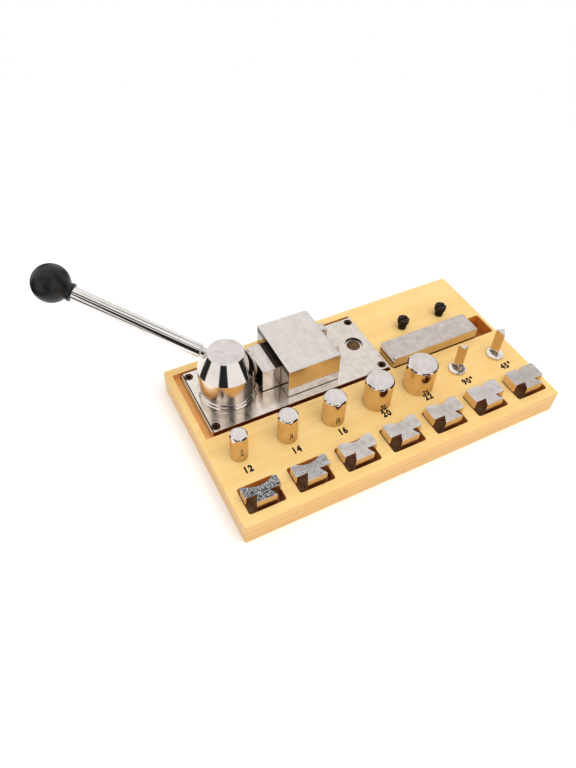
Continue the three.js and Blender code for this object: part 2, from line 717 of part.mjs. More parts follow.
addMesh('ram', ramSolid(), finishes.groundSteel);

// The turning pieces: hub, spindle, its washer and screw, lever and knob

addMesh('cam_hub', hubSolid(), finishes.nickel, [hubX, axisY, plateTop]);

const washerTop = recessFloor + retainer.counterboreDepth - runningGap;
const spindleTop = hubBase + spindle.depthInHub;
const spindleBody = cut(
  disc(spindle.radius, washerTop, spindleTop, roundSides.medium),
  disc(spindle.screwRadius + pressGap, washerTop - overrun, washerTop + spindle.screwDepth, roundSides.small));
addMesh('hub_spindle', spindleBody, finishes.springSteel, [pivotX, axisY, 0]);

const washerBottom = washerTop - retainer.washerHeight;
const washer = cut(
  disc(retainer.washerRadius, washerBottom, washerTop, roundSides.medium),
  disc(spindle.screwRadius + seatGap, washerBottom - overrun, washerTop + overrun, roundSides.small));
addMesh('retaining_washer', washer, finishes.springSteel, [pivotX, axisY, 0]);

const retainingScrew = socketScrew(retainer.headRadius, retainer.headHeight, spindle.screwRadius,
  retainer.washerHeight + spindle.screwDepth - seatGap, retainerSocket.acrossFlats, retainerSocket.depth)
  .rotate([180, 0, 0]);
addMesh('retaining_screw', retainingScrew, finishes.blackOxide, [pivotX, axisY, washerBottom]);

const hubFoot = [hubX, axisY, plateTop];
addMesh('lever_rod', leverRod(), finishes.nickel, hubFoot);
addMesh('knob_insert', knobInsert(), finishes.brass, hubFoot);
addMesh('ball_knob', ballKnob(), finishes.blackPlastic, hubFoot);

// The loose tools on the board

mandrel.diameters.forEach((diameter, index) => {
  addMesh(`mandrel_${diameter}`, mandrelSolid(diameter), finishes.nickel, [rowX(index), toolY, boardTop]);
});

pins.forEach((tool, index) => {
  const place = [rowX(mandrel.diameters.length + index), toolY, boardTop];
  const mesh = addMesh(`pin_${tool.angle}`, pinSolid(tool), finishes.nickel, place);
  mesh.rotation.z = -radians(tool.turn);
});

const shoulderY = boardFront + pocket.fromFront + die.tailFromPocketFront + die.tailDepth;
dies.forEach((tool, index) => {
  addMesh(tool.name, dieSolid(tool), finishes.groundSteel, [rowX(index), shoulderY, boardTop - pocket.depth]);
});

addMesh('flat_bar', barSolid(), finishes.groundSteel);

shoulderScrewPlaces.forEach(([x, y], index) => {
  addMesh(`shoulder_screw_${index + 1}`, shoulderScrewSolid(), finishes.blackOxide, [x, y, boardTop]);
});

export default group;
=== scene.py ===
# A ring bending machine on its wooden board, with the tools that the board stores.
# Lengths are metres in the frame's own axes: +X along the board, +Y away from the user, +Z up.
import math

import bmesh
import bpy
from mathutils import Matrix, Vector


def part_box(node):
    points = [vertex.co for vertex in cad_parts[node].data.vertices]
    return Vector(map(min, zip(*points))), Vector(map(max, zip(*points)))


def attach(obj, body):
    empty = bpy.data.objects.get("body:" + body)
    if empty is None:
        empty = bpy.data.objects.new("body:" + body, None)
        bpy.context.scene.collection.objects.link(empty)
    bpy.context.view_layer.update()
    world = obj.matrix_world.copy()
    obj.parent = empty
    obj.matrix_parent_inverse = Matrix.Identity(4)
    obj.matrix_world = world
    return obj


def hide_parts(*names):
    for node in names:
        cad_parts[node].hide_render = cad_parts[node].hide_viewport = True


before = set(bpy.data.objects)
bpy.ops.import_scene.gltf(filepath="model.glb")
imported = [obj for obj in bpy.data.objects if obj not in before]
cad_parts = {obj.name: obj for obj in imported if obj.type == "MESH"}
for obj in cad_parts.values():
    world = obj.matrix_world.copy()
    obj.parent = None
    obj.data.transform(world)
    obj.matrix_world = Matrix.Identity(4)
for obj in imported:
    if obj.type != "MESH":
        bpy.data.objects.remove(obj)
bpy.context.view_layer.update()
scene = bpy.context.scene
MM = 0.001

# Camera
# It stands to the front left of the board and looks down on it. Its place and its focal length
# were fitted to corners of the board, the pockets and the plate and to the mandrels' rims.
camera_target = Vector((-48.18, 21.65, 18)) * MM
camera_distance = 481.38 * MM
camera_azimuth, camera_elevation, camera_roll = (math.radians(angle) for angle in (-29.03, 48.66, 2.54))
photo_height_px = 768
focal_length_px = 666.95
sensor_size_mm = 36
camera_near = 10 * MM

backward = Vector((
    math.sin(camera_azimuth) * math.cos(camera_elevation),
    -math.cos(camera_azimuth) * math.cos(camera_elevation),
    math.sin(camera_elevation),
))
level = Vector((0, 0, 1)).cross(backward).normalized()
upright = backward.cross(level)
image_right = level * math.cos(camera_roll) + upright * math.sin(camera_roll)
image_up = upright * math.cos(camera_roll) - level * math.sin(camera_roll)

camera_data = bpy.data.cameras.new("camera")
camera_data.sensor_width = sensor_size_mm
camera_data.lens = sensor_size_mm * focal_length_px / photo_height_px
camera_data.clip_start = camera_near
camera = bpy.data.objects.new("camera", camera_data)
camera.matrix_world = Matrix.Translation(camera_target + backward * camera_distance) @ Matrix(
    (image_right, image_up, backward)).transposed().to_4x4()
scene.collection.objects.link(camera)
scene.camera = camera


# Studio
# A white floor under the board and a soft light tent over it. The tent has dark openings from
# below the bench line to near its top, which polished metal shows as black bands.
class Net:
    """Adds nodes to one tree and feeds their sockets. All but node give back the node's outputs."""

    def __init__(self, tree):
        self.tree = tree

    def feed(self, socket, value):
        if isinstance(value, bpy.types.NodeSocket):
            self.tree.links.new(value, socket)
        elif value is not None:
            socket.default_value = value

    def node(self, kind, feeds=None, **settings):
        made = self.tree.nodes.new(kind)
        for key, value in settings.items():
            setattr(made, key, value)
        for name, value in (feeds or {}).items():
            self.feed(made.inputs[name], value)
        return made

    def math(self, operation, first, second=None, clamp=False):
        made = self.node("ShaderNodeMath", {0: first, 1: second}, operation=operation, use_clamp=clamp)
        return made.outputs[0]

    def times(self, first, second):
        return self.math("MULTIPLY", first, second)

    def plus(self, first, second, clamp=False):
        return self.math("ADD", first, second, clamp)

    def minus(self, first, second):
        return self.math("SUBTRACT", first, second)

    def larger(self, first, second):
        return self.math("MAXIMUM", first, second)

    def away(self, value, centre):
        return self.math("ABSOLUTE", self.minus(value, centre))

    def vector(self, operation, first, second=None):
        made = self.node("ShaderNodeVectorMath", {0: first, 1: second}, operation=operation)
        return made.outputs["Value" if operation in ("DOT_PRODUCT", "LENGTH") else "Vector"]

    def split(self, vector):
        return self.node("ShaderNodeSeparateXYZ", {"Vector": vector}).outputs

    def coordinate(self, kind="Object"):
        return self.node("ShaderNodeTexCoord").outputs[kind]

    def facing(self, axis):
        return self.split(self.coordinate("Normal"))[axis]

    def noise(self, place, scale, detail=2.0, roughness=0.5):
        return self.node("ShaderNodeTexNoise", {
            "Vector": place, "Scale": scale, "Detail": detail, "Roughness": roughness}).outputs["Fac"]

    def group(self, tree, feeds):
        return self.node("ShaderNodeGroup", feeds, node_tree=tree).outputs[0]

    def ramp(self, value, low, high, to_low=0.0, to_high=1.0, smooth=True):
        made = self.node("ShaderNodeMapRange", {
            "Value": value, "From Min": low, "From Max": high, "To Min": to_low, "To Max": to_high,
        }, interpolation_type="SMOOTHSTEP" if smooth else "LINEAR")
        return made.outputs["Result"]

    def falling(self, value, low, high):
        return self.ramp(value, low, high, 1.0, 0.0)

    def mix(self, share, first, second):
        made = self.node("ShaderNodeMix", data_type="RGBA")
        for socket, value in ((made.inputs[0], share), (made.inputs[6], first), (made.inputs[7], second)):
            if isinstance(value, tuple) and len(value) == 3:
                value = (*value, 1)
            self.feed(socket, value)
        return made.outputs[2]


tent_diffuse_level = 0.82
tent_mirror_level = 0.98
tent_black = 0.02
# Dark openings in the tent: each has a middle and a half width in degrees round from the front of
# the bench, and the heights above the bench line that it reaches down and up to.
tent_openings = [
    (-6, 16, -14, 42), (19, 14, 36, 60), (87, 14, -20, 34), (-90, 17, -20, 12), (-55, 15, 36, 62),
    (97, 26, 40, 62), (-4, 16, 54, 72), (149, 6, 50, 74), (150, 10, -12, 20), (-150, 12, -12, 20)]
opening_edge = 2.0


def tent_opening(net, direction, flat_direction, opening):
    middle, half_width, low, high = opening
    around = math.radians(middle) + camera_azimuth - math.pi / 2
    facing = net.vector("DOT_PRODUCT", flat_direction, (math.cos(around), math.sin(around), 0))
    outer, inner = (math.cos(math.radians(half_width + edge)) for edge in (opening_edge, -opening_edge))
    sideways = net.ramp(facing, outer, inner)
    height = net.split(direction)["Z"]
    low_from, low_to, high_from, high_to = (
        math.sin(math.radians(bound + edge))
        for bound in (low, high) for edge in (-opening_edge, opening_edge))
    above = net.ramp(height, low_from, low_to)
    return net.times(sideways, net.times(above, net.falling(height, high_from, high_to)))


world = bpy.data.worlds.new("light_tent")
world.use_nodes = True
world.node_tree.nodes.clear()
net = Net(world.node_tree)
direction = net.coordinate("Generated")
flat_direction = net.vector("NORMALIZE", net.vector("MULTIPLY", direction, (1, 1, 0)))
dark = None
for opening in tent_openings:
    mask = tent_opening(net, direction, flat_direction, opening)
    dark = mask if dark is None else net.larger(dark, mask)
rays = net.node("ShaderNodeLightPath").outputs
mirror_level = net.ramp(dark, 0, 1, tent_mirror_level, tent_black, smooth=False)
seen_in_metal = net.larger(rays["Is Glossy Ray"], rays["Is Transmission Ray"])
lit_level = net.plus(
    net.times(seen_in_metal, mirror_level), net.times(net.minus(1.0, seen_in_metal), tent_diffuse_level))
level_for_ray = net.larger(rays["Is Camera Ray"], lit_level)
background = net.node("ShaderNodeBackground", {"Color": (1, 1, 1, 1), "Strength": level_for_ray})
net.node("ShaderNodeOutputWorld", {"Surface": background.outputs["Background"]})
scene.world = world
scene.view_settings.view_transform = "Standard"

key_light = bpy.data.lights.new("key_light", "AREA")
key_light.shape = "DISK"
key_light.size = 0.8
key_light.energy = 3.9
key_light.color = (1.0, 0.985, 0.96)
key = bpy.data.objects.new("key_light", key_light)
key.location = (0.15, -0.35, 0.95)
key.rotation_euler = (Vector((0, 0, 0)) - key.location).to_track_quat("-Z", "Y").to_euler()
key.visible_glossy = False
scene.collection.objects.link(key)

floor_radius = 0.5
floor_sides = 96
floor_glow = 0.12
floor_mesh = bmesh.new()
bmesh.ops.create_circle(floor_mesh, cap_ends=True, radius=floor_radius, segments=floor_sides)
floor_data = bpy.data.meshes.new("floor")
floor_mesh.to_mesh(floor_data)
floor_mesh.free()
floor = bpy.data.objects.new("floor", floor_data)
scene.collection.objects.link(floor)

# The floor is white paper. Metal shows the dark bench beyond its edge.
paper_centre = (-40 * MM, 70 * MM, 0)
paper_radius, paper_edge = 235 * MM, 12 * MM
paper_white, bench_black = (0.96, 0.96, 0.96), (0.03, 0.03, 0.03)
sweep_white = bpy.data.materials.new("white_sweep")
sweep_white.use_nodes = True
sweep_white.node_tree.nodes.clear()
net = Net(sweep_white.node_tree)
rays = net.node("ShaderNodeLightPath").outputs
from_centre = net.vector("LENGTH", net.vector("SUBTRACT", net.coordinate(), paper_centre))
beyond_paper = net.ramp(from_centre, paper_radius - paper_edge, paper_radius + paper_edge)
bench = net.times(rays["Is Glossy Ray"], beyond_paper)
seen_in_metal = net.larger(rays["Is Glossy Ray"], rays["Is Transmission Ray"])
seen = net.minus(net.larger(rays["Is Camera Ray"], seen_in_metal), bench)
paper = net.node("ShaderNodeBsdfDiffuse", {"Color": net.mix(bench, paper_white, bench_black)})
glow = net.node("ShaderNodeEmission", {"Color": (1, 1, 1, 1), "Strength": net.times(seen, floor_glow)})
both = net.node("ShaderNodeAddShader", {0: paper.outputs["BSDF"], 1: glow.outputs["Emission"]})
net.node("ShaderNodeOutputMaterial", {"Surface": both.outputs["Shader"]})
floor_data.materials.append(sweep_white)


# Wooden board
# One piece of varnished birch plywood, sawn square. A router cut the machine's recess, the bar's
# slot and the die pockets to one depth, all but a shallower strip left of the machine's plate. A
# drill made the holes for tools and screws.
smooth_below = math.radians(40)
keep_sharp_above = math.radians(50)


def add_piece(name, shape):
    """Makes an object from a bmesh, with every edge flatter than a set angle shaded smooth."""
    mesh = bpy.data.meshes.new(name)
    bmesh.ops.recalc_face_normals(shape, faces=shape.faces)
    shape.to_mesh(mesh)
    shape.free()
    mesh.shade_smooth()
    mesh.set_sharp_from_angle(angle=smooth_below)
    piece = bpy.data.objects.new(name, mesh)
    scene.collection.objects.link(piece)
    return piece


def stretched(name, outline, along):
    """A closed outline of points, stretched along a vector into a solid."""
    shape = bmesh.new()
    face = shape.faces.new([shape.verts.new(point) for point in outline])
    grown = bmesh.ops.extrude_face_region(shape, geom=[face])
    moved = [item for item in grown["geom"] if isinstance(item, bmesh.types.BMVert)]
    bmesh.ops.translate(shape, verts=moved, vec=along)
    return add_piece(name, shape)


def prism(name, outline, bottom, top):
    return stretched(name, [(x, y, bottom) for x, y in outline], (0, 0, top - bottom))


def rounded(corners, radius, steps=6):
    """The outline through the corners, each one turned by an arc of the given radius."""
    points = []
    for index, corner in enumerate(corners):
        here = Vector(corner)
        before = (Vector(corners[index - 1]) - here).normalized()
        after = (Vector(corners[(index + 1) % len(corners)]) - here).normalized()
        centre = here + (before + after) * radius
        start, end = -after, -before
        for step in range(steps + 1):
            turn = math.pi / 2 * step / steps
            points.append(centre + (start * math.cos(turn) + end * math.sin(turn)) * radius)
    return [(point.x, point.y) for point in points]


def rectangle(left, front, right, back, radius):
    return rounded([(left, front), (right, front), (right, back), (left, back)], radius)


def slab(name, low, high, corner):
    return prism(name, rectangle(low.x, low.y, high.x, high.y, corner), low.z, high.z)


def circle(x, y, radius, sides=48):
    angles = [2 * math.pi * side / sides for side in range(sides)]
    return [(x + radius * math.cos(angle), y + radius * math.sin(angle)) for angle in angles]


def drill(place, radius, bottom, top, sides=48):
    """A round cutter that stands upright at a place."""
    return prism("drill", circle(*place[:2], radius, sides), bottom, top)


def apply_modifiers(piece):
    depsgraph = bpy.context.evaluated_depsgraph_get()
    mesh = bpy.data.meshes.new_from_object(
        piece.evaluated_get(depsgraph), preserve_all_data_layers=True, depsgraph=depsgraph)
    piece.modifiers.clear()
    piece.data = mesh


def combine(piece, operation, others):
    """Cuts the other shapes out of the piece, or joins them to it, and throws them away."""
    for other in others:
        step = piece.modifiers.new("combine", "BOOLEAN")
        step.operation = operation
        step.solver = "EXACT"
        step.object = other
    apply_modifiers(piece)
    for other in others:
        bpy.data.objects.remove(other)


def carve(piece, cutters):
    combine(piece, "DIFFERENCE", cutters)


def flatten_shading(piece):
    """Keeps flat faces flat in the light, however their edges are rounded."""
    piece.data.shade_smooth()
    piece.data.set_sharp_from_angle(angle=keep_sharp_above)
    weighted = piece.modifiers.new("flat", "WEIGHTED_NORMAL")
    weighted.keep_sharp = True
    weighted.weight = 100
    apply_modifiers(piece)


def break_edges(piece, width, segments=2, angle=35):
    """Rounds the piece's sharp edges by a small radius."""
    bevel = piece.modifiers.new("edges", "BEVEL")
    bevel.width = width
    bevel.segments = segments
    bevel.limit_method = "ANGLE"
    bevel.angle_limit = math.radians(angle)
    bevel.use_clamp_overlap = True
    bevel.miter_outer = "MITER_ARC"
    apply_modifiers(piece)
    flatten_shading(piece)


def dress(piece, node, body, slot, *materials):
    """The piece stands for a node, rides on its body and takes these materials."""
    piece.data.materials.clear()
    for material in materials:
        piece.data.materials.append(material)
    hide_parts(node)
    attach(piece, body)


def middle(node):
    low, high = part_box(node)
    return (low + high) / 2


overcut = 1 * MM
board_low, board_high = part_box("wood_base")
board_top = board_high.z
plate_low, plate_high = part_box("machine_plate")
gap_left, gap_right, gap_front, gap_back = 5.4 * MM, 0.4 * MM, 1.7 * MM, 3.7 * MM
recess_floor = plate_low.z
recess_left = plate_low.x - gap_left
recess_right = plate_high.x + gap_right
recess_front = plate_low.y - gap_front
recess_back = plate_high.y + gap_back
plate_edge = plate_low.x - 0.05 * MM
strip_depth = 5 * MM
slot_wall, slot_end_wall, slot_width = 1.8 * MM, 2.4 * MM, 20.4 * MM
slot_left = recess_right + slot_wall
slot_right = board_high.x - slot_end_wall
slot_back = recess_front + slot_width
pocket_width, pocket_length, pocket_wall = 26 * MM, 20.5 * MM, 7.4 * MM
pocket_front = board_low.y + pocket_wall
board_corner, recess_corner, slot_corner, pocket_corner = 1.2 * MM, 0.8 * MM, 2 * MM, 1.8 * MM
board_break = 0.45 * MM
foot_hole_radius, foot_hole_depth = 5.1 * MM, 9.3 * MM
screw_hole_radius, screw_hole_depth = 2.5 * MM, 8.3 * MM
pilot_radius, pilot_end = 1.9 * MM, 4.3 * MM

mandrel_sizes = [12, 14, 16, 20, 22]
pin_angles = [90, 45]
tool_nodes = [f"mandrel_{size}" for size in mandrel_sizes] + [f"pin_{angle}" for angle in pin_angles]
die_nodes = [f"die_for_{size}" for size in reversed(mandrel_sizes)] + [f"die_{angle}" for angle in pin_angles]
plate_screw_nodes = [f"plate_screw_{number}" for number in range(1, 5)]
shoulder_screw_nodes = ["shoulder_screw_1", "shoulder_screw_2"]

board = slab("wooden_board", board_low, board_high, board_corner)
cutters = []
for left, right, back, corner, floor_height in (
    (recess_left, plate_edge + overcut, recess_back, recess_corner, board_top - strip_depth),
    (plate_edge, recess_right, recess_back, recess_corner, recess_floor),
    (slot_left, slot_right, slot_back, slot_corner, recess_floor),
):
    cutters.append(prism(
        "room", rectangle(left, recess_front, right, back, corner), floor_height, board_top + overcut))
for node in plate_screw_nodes:
    cutters.append(drill(middle(node), pilot_radius, pilot_end, recess_floor + overcut))
for node in die_nodes:
    x = middle(node).x
    cutters.append(prism("pocket", rectangle(
        x - pocket_width / 2, pocket_front, x + pocket_width / 2, pocket_front + pocket_length,
        pocket_corner,
    ), recess_floor, board_top + overcut))
for node in tool_nodes:
    cutters.append(drill(middle(node), foot_hole_radius, board_top - foot_hole_depth, board_top + overcut))
for node in shoulder_screw_nodes:
    cutters.append(drill(middle(node), screw_hole_radius, board_top - screw_hole_depth, board_top + overcut))
carve(board, cutters)
break_edges(board, board_break, segments=3)


def new_material(name, **constants):
    """A material whose shader is ready to be fed; the constants go on the shader's own sockets."""
    material = bpy.data.materials.new(name)
    material.use_nodes = True
    material.node_tree.nodes.clear()
    net = Net(material.node_tree)
    shader = net.node("ShaderNodeBsdfPrincipled", {
        label.replace("_", " ").title().replace("Ior", "IOR"): value for label, value in constants.items()})
    net.node("ShaderNodeOutputMaterial", {"Surface": shader.outputs["BSDF"]})
    return material, net, shader


def finish_shader(net, shader, colour, roughness, height, bump_depth):
    net.feed(shader.inputs["Base Color"], colour)
    net.feed(shader.inputs["Roughness"], roughness)
    bump = net.node("ShaderNodeBump", {"Strength": 1.0, "Distance": bump_depth, "Height": height})
    net.feed(shader.inputs["Normal"], bump.outputs["Normal"])


def new_group(name, inputs, output):
    """A node group with named inputs and their values, and one named output."""
    tree = bpy.data.node_groups.new(name, "ShaderNodeTree")
    for label, value in inputs.items():
        kind = "NodeSocketVector" if isinstance(value, tuple) else "NodeSocketFloat"
        tree.interface.new_socket(label, in_out="INPUT", socket_type=kind).default_value = value
    tree.interface.new_socket(output, in_out="OUTPUT", socket_type="NodeSocketFloat")
    net = Net(tree)
    return tree, net, net.node("NodeGroupInput").outputs


# Streaks run along one axis: wood grain, grinding and brushing. The inputs are how many streaks
# fit in a metre along each axis, and how much they vary over longer stretches.
streaks, net, given = new_group("streaks", {"Per Metre": (20.0, 800.0, 800.0), "Breakup": 0.5}, "Shade")
scaled_place = net.vector("MULTIPLY", net.coordinate(), given["Per Metre"])
fine = net.noise(scaled_place, 1.0, 5.0, 0.62)
broad = net.noise(scaled_place, 0.22)
shade = net.plus(fine, net.times(net.minus(broad, 0.5), given["Breakup"]))
net.node("NodeGroupOutput", {"Shade": shade})


def streaked(net, per_metre, breakup):
    return net.group(streaks, {"Per Metre": per_metre, "Breakup": breakup})


ply_thickness = 3.4 * MM
ply_line_width = 0.2
wood_pale = (0.96, 0.665, 0.26)
wood_deep = (0.88, 0.51, 0.15)
wood_side = (0.80, 0.47, 0.15)
wood_glue = (0.28, 0.11, 0.035)
wood_mirrored = (0.82, 0.67, 0.44)
# The routed wood's colours hold painted light: the strip and the deep floors are deeper as painted shade, and
# the walls brighter and redder as painted bounce light.
strip_painted_shade = (0.97, 0.50, 0.14)
routed_wall_painted_light = (0.82, 0.24, 0.025)
routed_floor_painted_shade = (0.34, 0.13, 0.036)
wood_routed_dark = (0.26, 0.085, 0.02)
wood_floor_mirrored = (0.50, 0.40, 0.32)
outer_skin, floor_margin = 1.2 * MM, 1 * MM
routed_from, routed_fully = 0.35 * MM, 1.1 * MM
plywood, net, shader = new_material("varnished_plywood", coat_weight=0.22, coat_roughness=0.16, ior=1.45)
place = net.coordinate()
split = net.split(place)
grain_shade = net.ramp(streaked(net, (14.0, 520.0, 520.0), 0.9), 0.36, 0.72)
pore_mask = net.ramp(streaked(net, (110.0, 2600.0, 2600.0), 0.2), 0.60, 0.70)
clouds = net.noise(place, 26.0, 3.0)
face_colour = net.mix(net.times(grain_shade, 0.42), wood_pale, wood_deep)
face_colour = net.mix(net.ramp(clouds, 0.35, 0.75, 0.0, 0.35), face_colour, wood_deep)
face_colour = net.mix(net.times(pore_mask, 0.22), face_colour, wood_glue)
ply = net.plus(
    net.math("DIVIDE", split["Z"], ply_thickness), net.times(net.noise(place, 34.0), 0.35))
glue_line = net.falling(net.math("FRACT", ply), ply_line_width * 0.3, ply_line_width)
line_patches = net.noise(net.vector("MULTIPLY", place, (14.0, 14.0, 700.0)), 1.0)
line_strength = net.ramp(line_patches, 0.34, 0.5, 0.1, 1.0)
lower_plies = net.ramp(split["Z"], 0.45 * board_top, 0.75 * board_top, 1.0, 0.12)
line = net.times(glue_line, net.times(line_strength, lower_plies))
every_other = net.math("FRACT", net.times(net.math("FLOOR", ply), 0.5))
across = net.math("GREATER_THAN", every_other, 0.25)
side_shade = net.ramp(streaked(net, (70.0, 70.0, 3400.0), 0.6), 0.35, 0.7)
side_colour = net.mix(net.times(across, 0.5), wood_deep, wood_side)
side_colour = net.mix(net.times(side_shade, 0.35), side_colour, wood_side)
side_colour = net.mix(line, side_colour, wood_glue)
routed_shade = net.ramp(streaked(net, (30.0, 900.0, 900.0), 1.0), 0.38, 0.66)
facing_up = net.ramp(net.facing("Z"), 0.55, 0.85)
deep_floor = net.times(facing_up, net.math("LESS_THAN", split["Z"], recess_floor + floor_margin))
wall_line = net.times(line, net.minus(1.0, facing_up))
# Seen directly, the strip and the deep floors show their painted shade; in reflections they take plainer
# colours.
in_metal = net.node("ShaderNodeLightPath").outputs["Is Glossy Ray"]
strip_colour = net.mix(in_metal, strip_painted_shade, wood_pale)
in_strip = net.math("LESS_THAN", split["X"], plate_edge)
floor_colour = net.mix(in_metal, routed_floor_painted_shade, wood_floor_mirrored)
routed_colour = net.mix(deep_floor, net.mix(in_strip, routed_wall_painted_light, strip_colour), floor_colour)
routed_dark = net.times(routed_shade, net.ramp(in_strip, 0, 1, 0.3, 0.07))
routed_colour = net.mix(net.larger(wall_line, routed_dark), routed_colour, wood_routed_dark)
inside_x, inside_y = (
    net.math("LESS_THAN", net.math("ABSOLUTE", across_board), half_size - outer_skin)
    for across_board, half_size in ((split["X"], board_high.x), (split["Y"], board_high.y)))
below_top = net.falling(split["Z"], board_top - routed_fully, board_top - routed_from)
routed = net.times(net.times(inside_x, inside_y), below_top)
outside_colour = net.mix(facing_up, side_colour, face_colour)
wood_height = net.minus(grain_shade, net.plus(pore_mask, line))
wood_colour = net.mix(routed, outside_colour, routed_colour)
# Painted reflection: polished metal is made to show the varnished wood deeper in colour than it looks by
# itself.
painted_reflection_colour = net.node(
    "ShaderNodeMix", {6: wood_colour, 7: (*wood_mirrored, 1)}, data_type="RGBA", blend_type="MULTIPLY")
net.feed(painted_reflection_colour.inputs[0], in_metal)
finish_shader(net, shader, painted_reflection_colour.outputs[2], net.ramp(clouds, 0.3, 0.7, 0.36, 0.48), wood_height, 0.02 * MM)
dress(board, "wood_base", "base", "plywood", plywood)


# Printed numbers
# The sizes of the tools, printed on the varnish in front of each hole in black ink: the round
# mandrels' diameters and the pins' angles.
number_height = 5.0 * MM
capital_share = 0.73
number_centre_y = -32.8 * MM
number_shift_x = 0.5 * MM
ink_thickness = 0.02 * MM
stroke_growth = 0.42 * MM
letter_narrowing, letter_spacing = 0.84, 1.22

ink, net, shader = new_material("printing_ink", ior=1.5, specular_ior_level=0.2)
blotches = net.noise(net.coordinate(), 1900.0, 3.0)
ink_colour = net.mix(net.ramp(blotches, 0.5, 0.85), (0.009, 0.008, 0.008), (0.04, 0.03, 0.02))
finish_shader(net, shader, ink_colour, net.ramp(blotches, 0.3, 0.7, 0.5, 0.65), blotches, 0.01 * MM)

# The letters are made this many times too large and shrunk, because fine outlines break up.
letter_scale = 200
labels = [str(size) for size in mandrel_sizes] + [f"{angle}\u00b0" for angle in pin_angles]
for label, node in zip(labels, tool_nodes):
    writing = bpy.data.curves.new("writing", "FONT")
    writing.body = label
    writing.size = number_height / capital_share * letter_scale
    writing.bevel_depth = stroke_growth * letter_scale
    writing.bevel_resolution = 1
    writing.space_character = letter_spacing
    writing.align_x = "CENTER"
    writing.align_y = "CENTER"
    written = bpy.data.objects.new("writing", writing)
    scene.collection.objects.link(written)
    number = bpy.data.objects.new(f"number_{node}", bpy.data.meshes.new_from_object(
        written.evaluated_get(bpy.context.evaluated_depsgraph_get())))
    bpy.data.objects.remove(written)
    number.data.transform(Matrix.Diagonal((
        letter_narrowing / letter_scale, 1 / letter_scale, ink_thickness / stroke_growth / letter_scale, 1)))
    number.data.transform(Matrix.Translation(
        (middle(node).x + number_shift_x, number_centre_y, board_top)))
    scene.collection.objects.link(number)
    number.data.materials.clear()
    number.data.materials.append(ink)
    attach(number, "base")


# Machine plate
# A ground steel plate, nickel plated. It lies in the recess with four sunk screws, and carries the
# guide block, the hub's spindle and the counterbored socket for a mandrel.
def other_finish(piece, chosen, index=1):
    """Gives the faces that the rule chooses the piece's second or a later material."""
    for face in piece.data.polygons:
        if chosen(face):
            face.material_index = index


def faces_up(face):
    return face.normal.z > 0.9


# Hairline scratches lie in three directions, as handling leaves them.
scratches, net, given = new_group("scratches", {"Amount": 1.0}, "Mask")
place = net.coordinate()
found = None
for angle in (0.35, 1.3, 2.45):
    turned_place = net.node("ShaderNodeVectorRotate", {
        "Vector": place, "Angle": angle, "Axis": (0.2, 0.1, 1.0)}).outputs["Vector"]
    hair = net.noise(net.vector("MULTIPLY", turned_place, (70.0, 3200.0, 900.0)), 1.0)
    mask = net.ramp(hair, 0.66, 0.74)
    found = mask if found is None else net.larger(found, mask)
net.node("NodeGroupOutput", {"Mask": net.times(found, given["Amount"])})

# Worn edges and painted highlights: where the surface bends within the radius, the colour is
# painted brighter, both as rubbed finish and as the bright line a rounded edge catches.
edge_wear_and_highlight, net, given = new_group("edge_wear_and_highlight", {"Radius": 0.5 * MM, "Amount": 1.0}, "Mask")
smoothed = net.node("ShaderNodeBevel", {"Radius": given["Radius"]}, samples=4).outputs["Normal"]
bend = net.vector("DOT_PRODUCT", smoothed, net.node("ShaderNodeNewGeometry").outputs["Normal"])
chips = net.noise(net.coordinate(), 420.0, 3.0)
rubbed_and_lit = net.times(net.ramp(bend, 0.995, 0.93), net.ramp(chips, 0.35, 0.6))
net.node("NodeGroupOutput", {"Mask": net.times(rubbed_and_lit, given["Amount"])})

# Painted shade, painted dark reflections and other darker marks on the metal take this colour.
painted_dark = (0.05, 0.036, 0.03)


def bright_metal(name, tint, dull_tint, roughness, wave_depth=0.004 * MM, edge_amount=0.6, darkening=None):
    """Plated or polished metal: a mirror with haze, hairlines, and edges brightened as wear and highlight."""
    material, net, shader = new_material(name, metallic=1.0)
    place = net.coordinate()
    haze = net.noise(place, 60.0, 4.0)
    waves = net.noise(place, 150.0, 1.0)
    hair = net.group(scratches, {"Amount": 0.5})
    edge = net.group(edge_wear_and_highlight, {"Amount": edge_amount})
    colour = net.mix(net.larger(net.ramp(haze, 0.4, 0.75), hair), tint, dull_tint)
    colour = net.mix(edge, colour, (0.95, 0.94, 0.92))
    # Painted shade and other darkening, where the material is given it.
    if darkening:
        colour = net.mix(darkening(net, place), colour, painted_dark)
    rough = net.plus(net.ramp(haze, 0.35, 0.8, roughness, roughness + 0.08), net.times(hair, 0.22))
    height = net.minus(waves, net.times(hair, 0.3))
    finish_shader(net, shader, colour, rough, height, wave_depth)
    return material


def ground_metal(name, tint, dark_tint, roughness, lines, mottle=0.25, speck=0.0,
                 line_depth=0.006 * MM, grit_per_metre=1500.0, darkening=None):
    """A face left as the surface grinder made it: fine parallel lines, clouds and small specks."""
    material, net, shader = new_material(name, metallic=1.0)
    place = net.coordinate()
    cloud = net.noise(place, 190.0, 5.0, 0.6)
    grit = net.noise(place, grit_per_metre, 3.0)
    hair = net.group(scratches, {"Amount": 0.5})
    edge = net.group(edge_wear_and_highlight, {"Amount": 0.8})
    streak = net.ramp(streaked(net, lines, 0.6), 0.3, 0.75)
    shade = net.plus(net.times(streak, 0.35), net.times(net.ramp(cloud, 0.35, 0.7), mottle))
    shade = net.plus(shade, net.times(net.ramp(grit, 0.5, 0.62), speck), clamp=True)
    colour = net.mix(shade, tint, dark_tint)
    colour = net.mix(net.larger(edge, net.times(hair, 0.4)), colour, (0.93, 0.92, 0.9))
    # Painted shade and other darkening, where the material is given it.
    if darkening:
        colour = net.mix(darkening(net, place), colour, painted_dark)
    rough = net.plus(net.ramp(cloud, 0.3, 0.75, roughness, roughness + 0.12), net.times(edge, -0.15))
    finish_shader(net, shader, colour, rough, net.plus(streak, grit), line_depth)
    return material


